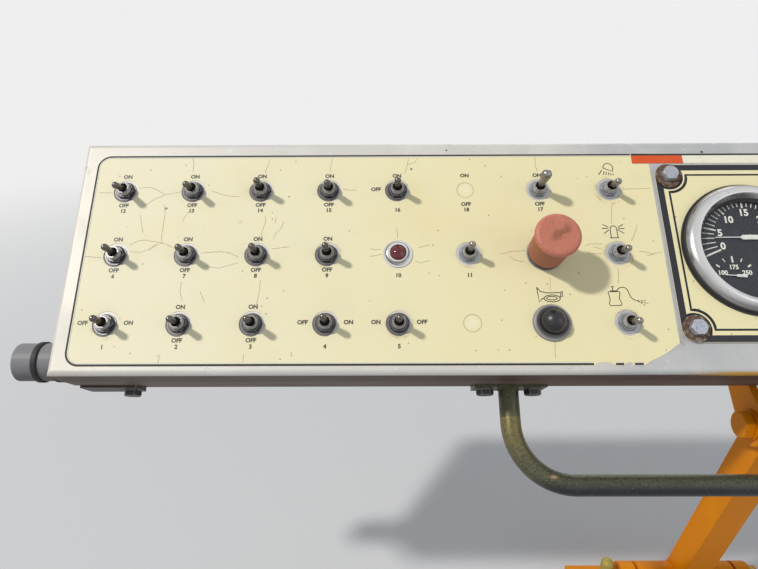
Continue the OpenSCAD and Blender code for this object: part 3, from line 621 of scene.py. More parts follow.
# Columns: name, plating, tarnish, rust, share of rust, scale, roughness, metallic, greasy, pieces
STEELS = [("rusty_washer", (132, 118, 104), (104, 84, 72), (112, 86, 66), 0.6, 170, 0.65, 0.55, 0,
           ["plate_washers"]),
          ("bolt_zinc", (176, 182, 192), (72, 76, 86), (96, 80, 68), 0.42, 620, 0.42, 0.55, 0,
           ["plate_bolts"]),
          ("switch_nickel", (168, 171, 175), (134, 136, 140), (120, 92, 70), 0.12, 260, 0.36, 0.55, 0.9,
           ["toggle_washers", "key_switch"]),
          ("nut_steel", (132, 136, 144), (98, 99, 106), (104, 80, 64), 0.14, 260, 0.3, 0.55, 0.9,
           ["toggle_nuts"]),
          ("bushing_steel", (148, 145, 142), (76, 72, 72), (88, 68, 54), 0.18, 420, 0.3, 0.55, 0.45,
           ["toggle_bushings"]),
          ("collar_steel", (120, 118, 116), (84, 78, 74), (98, 66, 44), 0.4, 160, 0.45, 0.55, 0,
           ["stop_collars"]),
          ("pin_steel", (160, 142, 62), (136, 118, 50), (120, 92, 40), 0.34, 60, 0.5, 0.2, 0,
           ["hinge_pin"]),
          ("dark_steel", (70, 66, 66), (48, 44, 44), (74, 48, 34), 0.35, 120, 0.5, 0.55, 0,
           ["handle_bolts", "end_bolts", "end_plates"])]
for *recipe, pieces in STEELS:
    plated_steel(*recipe).dress(*pieces)
print("steel finishes:", [row[0] for row in STEELS])

# %% [markdown]
# The levers are the smoothest of the steel. Fingers have worn the plating of their stems brown and
# polished their tips. Low down, where each one goes into its bushing, it is painted near black, as painted
# shade inside the bore. Height above the face tells these stretches apart, because every lever stands on
# a ball at the same height.

# %% Levers
BALL_H = 6
STEM_FROM, STEM_TO = BALL_H + 9, BALL_H + 15
BORE_FROM, BORE_TO = BALL_H + 3.4, BALL_H + 4.6
lever = plated_steel("lever_nickel", (140, 136, 132), (104, 98, 94), (104, 80, 64), 0.12, 260, 0.22, 0.9,
                     0.6)
x, s, h = lever.split(lever.on_face)
stem = lever.times(lever.zone(h, STEM_TO, STEM_FROM),
                   lever.window(lever.noise(lever.on_face, 300, 3), 0.3, 0.6))
lever.coat(paint(116, 94, 74), stem, 0.85)
# Painted shade: below the bushing's rim the lever is near black and rough.
bore_shade = lever.zone(h, BORE_TO, BORE_FROM)
lever.coat(paint(26, 24, 24), bore_shade)
lever.give("Roughness", lever.blend(bore_shade, 0.24, 0.7))
lever.dress("toggle_levers")
print("levers darken below", BORE_TO, "mm above the face")

# %% [markdown]
# Chrome is a bright metal with a low roughness. What makes it look real is what is wrong with it: a
# film of dust that dulls it in places, and small pits. Shade is painted in as well. On the gauge's bezel
# the foot is near black, the bezel gets darker below its top, on the outer slope and in the inner cone,
# and its lower right side is tinted darker still, all as painted shade. On the pilot lamps a dark ring of
# painted shade lies round the lens.

# %% Chromed rings
GAUGE_X, PLATE_MID = -51, 113
chrome = Finish("chrome", 0.25, 1.0)
film = chrome.stain(scale=60, coverage=0.5, softness=0.35, seed=11)
pits = chrome.speck(chrome.spot, scale=420, size=0.22, share=0.16)
x, s, h = chrome.split(chrome.on_face)
near_gauge = chrome.zone(chrome.size(x), 160, 120)
# Painted shade: the bezel's foot near black, and its slopes and inner cone darker below the top.
foot = chrome.times(chrome.zone(h, 7.8, 6.6), near_gauge)
cone = chrome.times(chrome.zone(h, 13.5, 9.5), near_gauge)
# Painted shade on the bezel's lower right side.
lower_right = chrome.zone(chrome.math("SUBTRACT", x, s), GAUGE_X - PLATE_MID - 10,
                          GAUGE_X - PLATE_MID + 70)
# A dark ring of painted shade round the lens of each pilot lamp.
lens_ring_shade = chrome.most(chrome.halo(beside(4, 1, half, -0.8, 0.8, 4), 10.6, 1.8) for half in (-1, 1))
chrome.base(chrome.mix(film, paint(226, 226, 226), paint(198, 196, 193)))
chrome.coat(paint(112, 110, 112), lower_right, 0.45)
chrome.coat(paint(84, 80, 80), cone, 0.55)
chrome.coat(paint(26, 25, 26), foot, 0.92)
chrome.coat(paint(70, 66, 72), lens_ring_shade, 0.75)
chrome.coat(paint(90, 74, 60), pits, 0.7)
chrome.give("Metallic", chrome.blend(foot, 1.0, 0.1))
chrome.give("Roughness", chrome.blend(foot, chrome.blend(film, 0.22, 0.36), 0.8))
chrome.rough_up(chrome.math("SUBTRACT", chrome.noise(chrome.spot, 500, 2), pits), 0.06, 0.2)
chrome.dress("gauge_bezel", "lamp_rings")
print("chrome takes", len(chrome.tree.nodes), "nodes")

# %% [markdown]
# Red plastic fades to pink and orange in the sun. The stop button's cap is bleached in patches, and a
# brown smear of old grease crosses the left one's top. Its skirt below the seam is darker, as painted
# shade, and a dark line of painted shadow runs round the seam, under the rim. The smear is a turned band
# with ragged sides, because noise is added to the coordinates before they are compared.

# %% Red caps
SMEAR_TURN = math.radians(38)
CAP_TOP, CAP_SEAM = 44, 39.4
cap = Finish("faded_red", 0.52)
x, s, h = cap.split(cap.on_face)
bleached = cap.stain(scale=60, coverage=0.5, softness=0.4, seed=12)
pale = cap.stain(scale=260, coverage=0.4, softness=0.15, seed=18)
specks = cap.speck(cap.spot, scale=420, size=0.3, share=0.22)
smear_at = [number * MM for number in beside(6, 1, -1, 2, 1, 0)]
smear_x, smear_y, _ = cap.split(cap.place(cap.on_face, smear_at, (0, 0, SMEAR_TURN), kind="TEXTURE"))
ragged = cap.times(cap.math("SUBTRACT", cap.noise(cap.spot, 140, 5), 0.5), 12 * MM)
across = cap.size(cap.math("ADD", smear_y, ragged))
ends = cap.size(cap.math("ADD", smear_x, cap.times(ragged, 0.6)))
smear = cap.times(cap.zone(across, 5.2, 1.2), cap.zone(ends, 12.5, 6), cap.zone(h, CAP_TOP - 3, CAP_TOP))
# A dark line of painted shadow round the seam, under the cap's rim.
seam = cap.zone(cap.size(cap.math("SUBTRACT", h, CAP_SEAM * MM)), 0.8, 0.2)
cap.base(cap.mix(bleached, paint(190, 114, 92), paint(202, 138, 116)))
# The skirt below the seam is darker: painted shade.
cap.coat(paint(154, 86, 64), cap.zone(h, CAP_TOP - 4, CAP_TOP - 8))
cap.coat(paint(112, 58, 44), seam, 0.5)
cap.coat(paint(222, 160, 140), pale, 0.5)
cap.coat(paint(134, 82, 56), smear, 0.75)
cap.coat(paint(88, 50, 40), specks, 0.7)
cap.rough_up(cap.noise(cap.spot, 900, 3), 0.15, 0.2)
cap.dress("stop_caps")
print("the seam of the caps lies", CAP_SEAM, "mm above the face")

# %% [markdown]
# Black parts turn grey where dust lies in their surface, on specks and along edges. Plastic is rougher
# than the horn button's rubber dome, which hands keep smooth. The dome's collar has worn to bare grey
# along its outer rim.

# %% Black plastic and rubber
def dusty_black(name, dark, dust, share, roughness):
    """Black plastic or rubber with dust on a share of it."""
    black = Finish(name, roughness)
    film = black.stain(scale=90, coverage=share, softness=0.35, seed=13)
    black.base(dark)
    black.coat(dust, film, 0.6)
    black.coat(dust, black.speck(black.spot, scale=500, size=0.3, share=0.2), 0.5)
    black.coat(dust, black.worn_edge(radius=0.6, scale=200, amount=0.6), 0.5)
    black.give("Roughness", black.blend(film, roughness, min(1.0, roughness + 0.25)))
    black.rough_up(black.noise(black.spot, 700, 3), 0.15, 0.2)
    return black


moulded = dusty_black("black_moulding", paint(26, 26, 29), paint(84, 80, 78), 0.3, 0.6)
moulded.dress("gauge_case", "meter_case")
rubber = dusty_black("black_rubber", paint(30, 29, 34), paint(86, 82, 84), 0.3, 0.34)
rubber.dress("horn_domes")
strap_rubber = dusty_black("strap_rubber", paint(20, 21, 22), paint(56, 54, 54), 0.25, 0.62)
strap_rubber.dress("tube_bands")
collar = dusty_black("horn_collar", paint(58, 57, 60), paint(112, 108, 104), 0.5, 0.45)
rim = collar.most(collar.halo(beside(6, 0, half, 0, 0, 2), 15.4, 2.1) for half in (-1, 1))
collar.coat(paint(150, 149, 148), rim)
collar.dress("horn_collars")
print("black finishes:", [black.material.name for black in (moulded, rubber, strap_rubber, collar)])

# %% [markdown]
# The dial is matt slate and the pointers are off-white. The cover glass is thin, so it is drawn as a
# clear coat over almost nothing: a low Alpha lets the dial show, and a little dust lies on it. The
# lamp's lens is moulded with many facets inside, which the cells of a Voronoi pattern stand for.

# %% Dial, pointers, glass and lens
slate = Finish("dial_slate", 0.6)
slate.base(slate.mix(slate.noise(slate.spot, 30, 3), paint(17, 20, 27), paint(25, 29, 38)))
slate.rough_up(slate.noise(slate.spot, 1500, 2), 0.05, 0.2)
slate.dress("gauge_dial")

pointer = Finish("pointer_white", 0.45)
pointer.base(pointer.mix(pointer.noise(pointer.spot, 200, 3), paint(238, 238, 232), paint(222, 221, 212)))
pointer.rough_up(pointer.noise(pointer.spot, 1500, 2), 0.05, 0.2)
pointer.dress("gauge_needles", "meter_face")

glass = Finish("cover_glass", 0.05)
haze = glass.stain(scale=50, coverage=0.5, softness=0.4, seed=15)
glass.base(glass.mix(haze, paint(190, 198, 204), paint(214, 212, 200)))
glass.give("Alpha", glass.blend(haze, 0.015, 0.05))
glass.give("Roughness", glass.blend(haze, 0.03, 0.14))
glass.dress("gauge_glass", "meter_glass")

ruby = Finish("ruby_lens", 0.08)
facets = ruby.add("TexVoronoi", {"Vector": ruby.on_face, "Scale": 420}).outputs["Distance"]
ruby.base(ruby.mix(facets, paint(126, 8, 24), paint(56, 2, 10)))
ruby.give("Coat Weight", 0.3)
ruby.rough_up(facets, 0.4, 0.6)
ruby.dress("lamp_lenses")
print("see-through finishes:", glass.material.name, ruby.material.name)

# %% [markdown]
# The handle and the frame parts are painted steel. Paint chips first at edges, and then shows primer or
# rust, so one function mixes fresh paint, sun-bleached paint, dust and chips. The yellow of the strut
# has little gloss left. The grey end tubes are darker on their lower side, as grime and painted shade.

# %% Painted steel
def painted_steel(name, fresh, bleached, chip, chips, scale, roughness, dusty):
    """Paint in two tones, with dust over it, and chips whose share is given by chips."""
    coated = Finish(name, roughness)
    coated.give("Specular IOR Level", 0.3)
    sun = coated.stain(scale=scale * 0.5, coverage=0.5, softness=0.45, seed=21)
    dust = coated.stain(scale=scale * 1.5, coverage=0.4, softness=0.3, seed=22)
    flakes = coated.stain(scale=scale * 4, coverage=chips * 0.28, softness=0.03, seed=23)
    wear = coated.worn_edge(radius=1.2, scale=scale * 4, amount=chips)
    lost = coated.math("MAXIMUM", wear, flakes)
    coated.base(coated.mix(sun, fresh, bleached))
    coated.coat(paint(142, 122, 96), dust, dusty)
    coated.coat(coated.mix(coated.noise(coated.spot, scale * 9, 4), chip, paint(72, 50, 38)), lost)
    coated.give("Roughness", coated.blend(coated.math("MAXIMUM", lost, dust), roughness, 0.75))
    grain = coated.times(coated.noise(coated.spot, scale * 14, 3), 0.4)
    coated.rough_up(coated.math("SUBTRACT", grain, lost), 0.4, 0.3)
    return coated


yellow = painted_steel("machine_yellow", paint(214, 128, 0), paint(222, 140, 0), paint(120, 76, 40),
                       chips=0.45, scale=30, roughness=0.42, dusty=0.1)
yellow.give("Specular IOR Level", 0.12)
yellow.dress("lug_fork", "fork_bolts", "upper_bolt", "strut", "foot_bracket")

grey = painted_steel("tube_grey", paint(128, 128, 130), paint(150, 150, 150), paint(96, 72, 54),
                     chips=0.55, scale=60, roughness=0.5, dusty=0.3)
tube_low, tube_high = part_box("end_tubes")
grime_and_shade_top = tube_low.z + 0.75 * (tube_high.z - tube_low.z)
_, _, z = grey.split(grey.spot)
# The tubes' lower side darkened: grime and painted shade.
grey.coat(paint(46, 44, 43), grey.window(z, grime_and_shade_top, tube_low.z), 0.8)
grey.dress("end_tubes")
print("painted finishes:", yellow.material.name, grey.material.name)

# %% [markdown]
# Along its left bend the handle is painted light yellow below a sharp line two fingers' width below the
# front wall: painted light with a painted yellow reflection, with a thin darker band of painted shadow of
# the box just above the line. The handle is lighter olive on the legs and on the upper side of the
# straight, lint sticks to it, and it shows one painted glint. These stretches lie at known places of the
# face's axes, so discs and zones pick them out, and fine noise keeps their borders from looking drawn.

# %% Handle paint
GRIP_LEFT, GRIP_DEEP = -265, -66.5
SHADOW_LINE, OLIVE_FROM = -28, -95
GLINT_SQUASH = 0.45
grip = painted_steel("handle_paint", paint(44, 49, 52), paint(70, 75, 71), paint(134, 132, 112),
                     chips=0.4, scale=90, roughness=0.36, dusty=0.3)
x, s, h = grip.split(grip.on_face)
bend = grip.halo((GRIP_LEFT + 3, -31, GRIP_DEEP), 0, 50)
fine = grip.window(grip.noise(grip.on_face, 520, 5, 0.75), 0.30, 0.66)
# Painted light with a painted yellow reflection below the line, and a thin band of painted shadow above it.
painted_light_band = grip.times(bend, grip.zone(s, SHADOW_LINE + 0.4, SHADOW_LINE - 0.4), fine)
shadow_edge_band = grip.times(grip.zone(s, SHADOW_LINE + 0.2, SHADOW_LINE + 1.0), bend)
thready = grip.window(grip.noise(grip.on_face, 620, 4, 0.7), 0.3, 0.6)
olive = grip.times(grip.zone(s, OLIVE_FROM, OLIVE_FROM + 15), thready)
lint = grip.speck(grip.on_face, scale=520, size=0.3, share=0.12)
# A painted glint on top of the straight, near the bend.
painted_glint = grip.halo(((GRIP_LEFT + 33) * GLINT_SQUASH, -81.5, -58), 0, 2.6,
                  grip.place(grip.on_face, stretch=(GLINT_SQUASH, 1, 1)))
grip.coat(paint(116, 114, 80), olive, 0.65)
grip.coat(paint(150, 150, 140), lint, 0.4)
grip.coat(paint(92, 88, 56), shadow_edge_band, 0.3)
grip.coat(paint(158, 136, 66), painted_light_band, 0.62)
grip.coat(paint(240, 190, 150), grip.times(painted_glint, grip.noise(grip.on_face, 900, 3)))
grip.give("Metallic", 0.35)
grip.dress("handle_bar", "handle_flanges")
print("the handle's yellow shows below", SHADOW_LINE, "mm")

# %% [markdown]
# What is printed on the box is modelled as thin layers of ink. An image laid over the sheet would blur
# close up, while ink with a shape of its own stays sharp at any distance. All inks fade alike, so they
# differ only in a row of this table.

# %% Inks
INK_T = 0.06
# Columns: name, colour, colour where it has worn, share that has worn
INKS = [("ink_black", (36, 36, 40), (84, 78, 66), 0.3), ("ink_grey", (62, 60, 54), (118, 112, 92), 0.4),
        ("ink_white", (240, 238, 224), (222, 214, 186), 0.3), ("ink_navy", (18, 21, 32), (58, 54, 54), 0.3),
        ("ink_crack", (178, 168, 130), (212, 202, 162), 0.5)]
inks = {}
for name, colour, worn_colour, share in INKS:
    ink = Finish(name, 0.5)
    faded = ink.stain(scale=180, coverage=share, softness=0.2, seed=31)
    ink.base(ink.mix(faded, paint(*colour), paint(*worn_colour)))
    inks[name] = ink.material
print("inks:", sorted(inks))

# %% [markdown]
# Every piece that is added ends in the same way: its bmesh is moved to its place, becomes an object at
# the origin, gets a material, and is told which body it rides on. One function does that. Two small
# ones shade round shapes smoothly, and make the arcs that most of the drawings below need.

# %% Helpers for added pieces
def add_piece(name, bm, axes, material, body):
    """Makes a piece of what was drawn in millimetres of some axes."""
    bm.transform(axes)
    mesh = bpy.data.meshes.new(name)
    bm.to_mesh(mesh)
    bm.free()
    piece = bpy.data.objects.new(name, mesh)
    bpy.context.scene.collection.objects.link(piece)
    mesh.materials.append(material)
    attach(piece, body)
    print(name, "has", len(mesh.polygons), "faces")


def smooth_faces(bm):
    """Shades all faces as one round surface."""
    for face in bm.faces:
        face.smooth = True


def arc(x, y, radius, start, end, steps=10):
    """Points of an arc, from one angle to another in degrees."""
    turns = [math.radians(start + (end - start) * i / steps) for i in range(steps + 1)]
    return [(x + radius * math.cos(a), y + radius * math.sin(a)) for a in turns]


print("a quarter turn in ten steps has", len(arc(0, 0, 1, 0, 90)), "points")

# %% [markdown]
# A stroke of ink is a curve with a round section, made into a mesh and pressed flat. That gives an even
# width and clean corners, and any number of strokes can share one piece. Words are Blender's own text,
# pressed in the same way. Ink lies on what carries it, so its height is that surface's own.

# %% Strokes of ink
def pressed(curve_or_text, thickness, lift):
    """Mesh of a curve or text, squeezed to a thickness in millimetres and set at a height."""
    carrier = bpy.data.objects.new("carrier", curve_or_text)
    bpy.context.scene.collection.objects.link(carrier)
    graph = bpy.context.evaluated_depsgraph_get()
    mesh = bpy.data.meshes.new_from_object(carrier.evaluated_get(graph))
    heights = [v.co.z for v in mesh.vertices]
    mesh.transform(Matrix.Diagonal((1, 1, thickness / (max(heights) - min(heights)), 1)))
    low = min(v.co.z for v in mesh.vertices)
    mesh.transform(Matrix.Translation((0, 0, lift - low)))
    bpy.data.objects.remove(carrier)
    return mesh


def add_strokes(bm, strokes, width, lift, thickness=INK_T, closed=False):
    """Lines through (x, y) points in face millimetres, as flat strokes of an even width."""
    curve = bpy.data.curves.new("strokes", "CURVE")
    curve.dimensions = "3D"
    curve.bevel_depth = width / 2
    curve.bevel_resolution = 0
    curve.use_fill_caps = True
    for points in strokes:
        spline = curve.splines.new("POLY")
        spline.points.add(len(points) - 1)
        for target, (x, y) in zip(spline.points, points):
            target.co = (x, y, 0, 1)
        spline.use_cyclic_u = closed
    mesh = pressed(curve, thickness, lift)
    bm.from_mesh(mesh)
    bpy.data.meshes.remove(mesh)
    bpy.data.curves.remove(curve)


print("ink is", INK_T, "mm thick")

# %% Words in ink
CAP_HEIGHT = 0.69


def add_words(bm, rows, lift, bold=0.045):
    """Short legends. Columns of rows: characters, place of their middle across and up, capital's height."""
    for characters, x, y, size in rows:
        text = bpy.data.curves.new("words", "FONT")
        text.body = characters
        text.size = size / CAP_HEIGHT
        text.align_x = "CENTER"
        text.align_y = "CENTER"
        text.extrude = 0.1
        text.offset = bold * text.size
        text.resolution_u = 3
        mesh = pressed(text, INK_T, lift)
        mesh.transform(Matrix.Translation((x, y, 0)))
        bm.from_mesh(mesh)
        bpy.data.meshes.remove(mesh)
        bpy.data.curves.remove(text)


print("a capital is", CAP_HEIGHT, "of the size of its letters")

# %% [markdown]
# Each label has a black line round its edge with a thinner white line inside it. On the left the line
# stops where the corner of the label is torn off, and two stretches of it have peeled away at the
# bottom. The right label mirrors the left one, and is whole. The strip above the gauges has a black
# line over it, in three stretches, because its middle one lies on the sheet and not on the labels.

# %% Border lines of the labels
LABEL_END, LABEL_LOW, LABEL_H, LABEL_R = 14, 8, 204, 12.7
PLATE_W, PLATE_H, PLATE_EDGE = 254, 172, 12
LABEL_INNER = PLATE_W / 2 + 3
STRIP_W, STRIP_LINE_W = 291, 1.0
PEELED = [(-205.5, -187), (-180, -171)]
TEAR_FOOT = -163.5
# Columns: ink, distance of the line's middle from the label's edge, width
LINES = [("black", 0.9, 1.6), ("white", 2.3, 1.0)]
outer_x = -HALF_W + LABEL_END
top_y = LABEL_LOW + LABEL_H


def border(inset, x_end, y_end):
    """Path along a label's edge: from a place on its bottom, round its outer end, to one on its top."""
    r = LABEL_R - inset
    cx = outer_x + LABEL_R
    path = [(x_end, LABEL_LOW + inset)]
    path += arc(cx, LABEL_LOW + LABEL_R, r, 270, 180)
    path += arc(cx, top_y - LABEL_R, r, 180, 90)
    path += [(y_end, top_y - inset)]
    return path


def mirrored(strokes):
    return [[(-x, y) for x, y in stroke] for stroke in strokes]


whole = [(PEELED[0][1], PEELED[1][0]), (PEELED[1][1], TEAR_FOOT)]
for ink, inset, width in LINES:
    left = [border(inset, PEELED[0][0], -STRIP_W / 2 - 1)]
    left += [[(start, LABEL_LOW + inset), (end, LABEL_LOW + inset)] for start, end in whole]
    right = mirrored([border(inset, -LABEL_INNER, -STRIP_W / 2 - 1)])
    bm = bmesh.new()
    add_strokes(bm, left + right, width, LABEL_TOP)
    if ink == "black":
        over_strip = top_y - STRIP_LINE_W / 2
        on_label = [[(STRIP_W / 2, over_strip), (LABEL_INNER, over_strip)]]
        on_sheet = [[(-LABEL_INNER, over_strip), (LABEL_INNER, over_strip)]]
        add_strokes(bm, mirrored(on_label) + on_label, STRIP_LINE_W, LABEL_TOP)
        add_strokes(bm, on_sheet, STRIP_LINE_W, 0.0)
    add_piece("label_border_" + ink, bm, FACE, inks["ink_" + ink], "console")

# %% [markdown]
# A panel of switches needs its legends to look right, even from far away. Most switches here have ON
# above and OFF below, a few have the two words beside them, and all but the controls nearest to the
# gauges have a number. A table holds only the switches whose words differ from the rest.

# %% Legends beside the switches
WORD_H = 3.6
ABOVE, BELOW, LOWER, BESIDE, BESIDE_UP = 15.2, -14.8, -20.4, 20, 1
PLAIN = ("ON", "OFF", "", "")
# Controls that differ from the plain pair of words. Columns: word above, below, at the left, at the right
WORDS = {(0, 0): ("", "", "OFF", "ON"), (3, 0): ("", "", "OFF", "ON"), (4, 0): ("", "", "ON", "OFF"),
         (4, 2): ("ON", "", "OFF", ""), (4, 1): ("", "", "", ""), (5, 1): ("", "", "", "")}
UNMARKED = [(7, 0), (7, 1), (7, 2), (6, 0), (6, 1)]
NUMBERED_LAST = [(5, 2)]
marked = [(column, row) for column, row, kind in STATIONS
          if kind != "blank" and (column, row) not in UNMARKED] + NUMBERED_LAST
rows = []
for half in (-1, 1):
    for number, place in enumerate(marked, start=1):
        x, y = station(*place, half)
        above, below, left, right = WORDS.get(place, PLAIN)
        for word, across, up in ((above, 0, ABOVE), (below, 0, BELOW), (left, -BESIDE, BESIDE_UP),
                                 (right, BESIDE, BESIDE_UP), (str(number), 0, LOWER)):
            if word:
                rows.append((word, x + across, y + up, WORD_H))
bm = bmesh.new()
add_words(bm, rows, LABEL_TOP)
add_piece("switch_legends", bm, FACE, inks["ink_grey"], "console")

# %% [markdown]
# Four small signs tell controls apart that have no words: a lamp and a beacon with rays, a horn, and a
# bottle that sprays. They are drawn here in a few strokes each, as such signs usually are, with points
# in millimetres from the sign's own middle.

# %% Signs of the lamp, beacon, horn and spray bottle
def ellipse(x, y, wide, high, steps):
    turns = [2 * math.pi * i / steps for i in range(steps + 1)]
    return [(x + wide * math.cos(a), y + high * math.sin(a)) for a in turns]


LAMP_SIGN = [[(-4.2, 1.5), (-3.8, 3.4), (-2.6, 5.3), (-0.8, 6.4), (1.2, 6.5), (3.2, 5.6), (4.6, 3.9),
              (5.1, 1.8), (4.8, -0.3), (4.3, -2.1), (-4.2, 1.5)],
             [(-5.4, -0.3), (-9, -5.6)], [(-3.4, -2), (-4.8, -5.6)], [(-1.4, -2.6), (-2.3, -5.8)],
             [(0.8, -3.2), (0, -6)], [(2.8, -4), (2.2, -6.2)], [(4.8, -4.6), (4.4, -6.4)]]
BEACON_SIGN = [[(-3.1, -5.6), (-2.9, 3)] + arc(0, 3, 2.9, 180, 0, 8) + [(3.1, -5.6)],
               [(-4, -6), (4.2, -6)],
               [(-9.6, 7.4), (-4.3, 4.5)], [(-10.6, 3.4), (-5.3, 3.3)], [(-8.8, -1.5), (-4.1, 2)],
               [(4.3, 4.3), (9.3, 7.4)], [(4.5, 3.1), (10.2, 3.3)], [(3.6, 2.2), (9.4, -1.8)]]
HORN_SIGN = [[(-11.2, 7.6), (-10.8, 3), (-10, -6.2), (-7.3, -3.2), (-5, -2.4)],
             [(-11.2, 7.6), (-8.4, 3.7), (-3.3, 2.3), (10.2, 2.4)],
             [(9.9, 3.6), (11.2, 3.2), (11, -1), (9.7, -1)],
             ellipse(1.5, -2.9, 7.1, 3.2, 20), ellipse(1.3, -2.7, 4.8, 1.6, 16),
             [(8.6, -2.4), (9.9, 2.2)]]
BOTTLE_SIGN = [[(4.6, 4.7), (5.2, 3.5), (3.9, -1.3), (5.6, -6.6), (4.6, -8), (-4.4, -8.2), (-5.4, -6.6),
                (-4.2, -2.2), (-5.2, 3.8), (-4.8, 4.6), (4.6, 4.7)],
               [(-3.3, 5.4), (2.7, 5.4)], [(-0.9, 4.6), (-0.9, 9.3)], [(-1.9, 9.3), (0.6, 9.3)],
               [(2.7, 5.4), (4.1, 7.4), (6, 8.5), (8.5, 8.8), (11, 7.8), (12.4, 5.4), (13.1, 2.6),
                (14.1, -0.3), (15.7, -2.2), (18.2, -3.5), (20.6, -4.2)],
               [(20, -3.4), (21.8, -4.6), (20.2, -5)],
               [(22.6, -3.9), (24, -3.8)], [(25.2, -3.6), (26.6, -3.5)], [(22.6, -4.9), (24, -5.2)],
               [(25.2, -5.5), (26.6, -5.9)], [(22.3, -5.7), (23.4, -6.4)], [(24.4, -7.2), (25.4, -8)]]
SIGN_LINE_W = 0.78
# Columns: sign, distance from the left end, distance of its twin from the right end, height
SIGNS = [(LAMP_SIGN, 500, 500, 195), (BEACON_SIGN, 497.4, 497.4, 130.6), (HORN_SIGN, 433.4, 433.4, 70),
         (BOTTLE_SIGN, 489.8, 501.8, 68.5)]
strokes = []
for sign, from_left, from_right, y in SIGNS:
    for middle in (from_left - HALF_W, HALF_W - from_right):
        strokes += [[(middle + across, y + up) for across, up in stroke] for stroke in sign]
bm = bmesh.new()
add_strokes(bm, strokes, SIGN_LINE_W, LABEL_TOP)
add_piece("control_signs", bm, FACE, inks["ink_black"], "console")

# %% [markdown]
# The labels are crazed: short cracks run from one opening to the next. A noise would scatter them
# everywhere, while real ones start at holes and corners. So each crack below is a few points measured on
# the face, from the box's left end. On the right half the same kind of cracks is laid upside down, so
# that the two halves don't match too well.

# %% Cracks in the labels
CRACKS = [[(104, 210), (106, 203.8), (106, 194.3)],
          [(57, 176.8), (61.5, 178.3), (69, 177.8), (75, 174.8), (82, 170.3), (97, 173.3)],
          [(64.5, 158.8), (73, 165.8), (82, 169.8)], [(239, 208.8), (237, 200.3), (236.5, 193.8)],
          [(249, 175.3), (256, 174.3), (262.5, 174.3)], [(311.5, 207.3), (310, 200.8), (308, 192.3)],
          [(310.5, 201.3), (317.5, 203.8), (319.5, 207.3)], [(432.5, 209.8), (432, 199.3), (433.5, 192.8)],
          [(511.5, 173.8), (519, 174.3), (537, 174.8)], [(499.5, 159.8), (496, 138.3)],
          [(392, 109.8), (396.5, 109.8), (403, 111.8), (415, 112.3)],
          [(400, 107.3), (406, 102.8), (413, 101.8)], [(469.5, 116.8), (474, 118.8), (485, 118.8)],
          [(511.8, 121.3), (515.5, 127), (518, 133), (519.6, 137.8)], [(435, 86.3), (434, 74.8)],
          [(496.4, 95.8), (496.2, 88.5), (494.6, 80.5)],
          [(433.5, 28.8), (432.5, 14.3)], [(17, 108.3), (23.5, 107.8), (31.5, 107.3)],
          [(56, 119.3), (63, 123.3), (69, 124.3), (76, 122.8), (83.5, 121.8), (88, 120.3), (95.5, 116.8)],
          [(57, 112.8), (68, 112.3), (75, 115.8), (80.5, 120.3)],
          [(299, 135.3), (300, 129.3), (299.5, 124.3)],
          [(275, 114.8), (279.5, 113.8), (284.5, 114.3)], [(275, 107.3), (285.5, 109.3)],
          [(319, 115.8), (329, 118.3)], [(315.5, 102.8), (320.5, 100.8), (328.5, 103.3)],
          [(126, 174), (137.5, 169.6), (147.5, 168), (152, 168)], [(20, 172.7), (31.3, 172.6)],
          [(62, 149.6), (63.7, 140.8), (66.7, 131.6)],
          [(82.5, 160), (84.5, 152), (84.3, 139), (84, 128), (84.8, 122.6)],
          [(74.4, 114), (79.6, 118.7), (86.4, 121.8)], [(178.3, 208), (177.2, 201.4), (174.7, 193)],
          [(177.5, 148.3), (178.6, 142), (176.2, 134), (175, 126)], [(187.8, 146.6), (187.4, 140.3)],
          [(195.3, 142.6), (193.5, 135.5), (188.7, 130.8), (186.2, 124.5)],
          [(106.8, 153.4), (103, 147), (101.7, 142.2)],
          [(517.5, 111.2), (523, 110.9), (528.5, 108.8), (532, 109.3), (538, 110.2)],
          [(524, 107.2), (528, 107.7), (531, 109.2)],
          [(107.1, 83.8), (106.7, 74.8), (109.8, 66)], [(124.4, 74.8), (129.6, 64.4)],
          [(177.4, 85), (176.9, 71.6), (174.8, 59.9)], [(95.8, 19), (94.9, 9.4)],
          [(167.4, 18.8), (167.3, 10.6)],
          [(122.2, 111.2), (139.4, 112.7), (148.2, 111.1), (155.8, 107.2)],
          [(124.9, 98.9), (139.4, 96.5), (156.2, 101.8)], [(185.6, 114.9), (201.4, 117.1)],
          [(470, 109.6), (483.5, 108.9)], [(477, 115.8), (484, 113.9)]]
CRACK_W = 0.45
middle_y = ROW_FIRST + ROW_PITCH
left = [[(u - HALF_W, y) for u, y in crack] for crack in CRACKS]
right = [[(HALF_W - u, 2 * middle_y - y) for u, y in crack] for crack in CRACKS]
bm = bmesh.new()
add_strokes(bm, left + right, CRACK_W, LABEL_TOP, INK_T / 2)
add_piece("label_cracks", bm, FACE, inks["ink_crack"], "console")

# %% [markdown]
# The gauge plate carries a broad black band round its edge and a thin black line inside it, which swings
# inwards round each bolt. The band is a face of the plate's outline, inset to leave only its rim. The
# line is a stroke: four straight stretches joined by arcs round the bolts. A thin black arc of painted
# shadow follows each washer on the side where the band doesn't reach.

# %% Border of the gauge plate
PLATE_TOP = 1.6
BAND_IN, BAND_W = 0.25, 5.95
LINE_IN, LINE_W = 11, 2.6
BOLT_ARC = 16.9
WASHER_ARC, WASHER_LINE_W = PLATE_EDGE + 1.1, 2.2
bolt_x = PLATE_W / 2 - PLATE_EDGE
bolt_y = PLATE_H / 2 - PLATE_EDGE

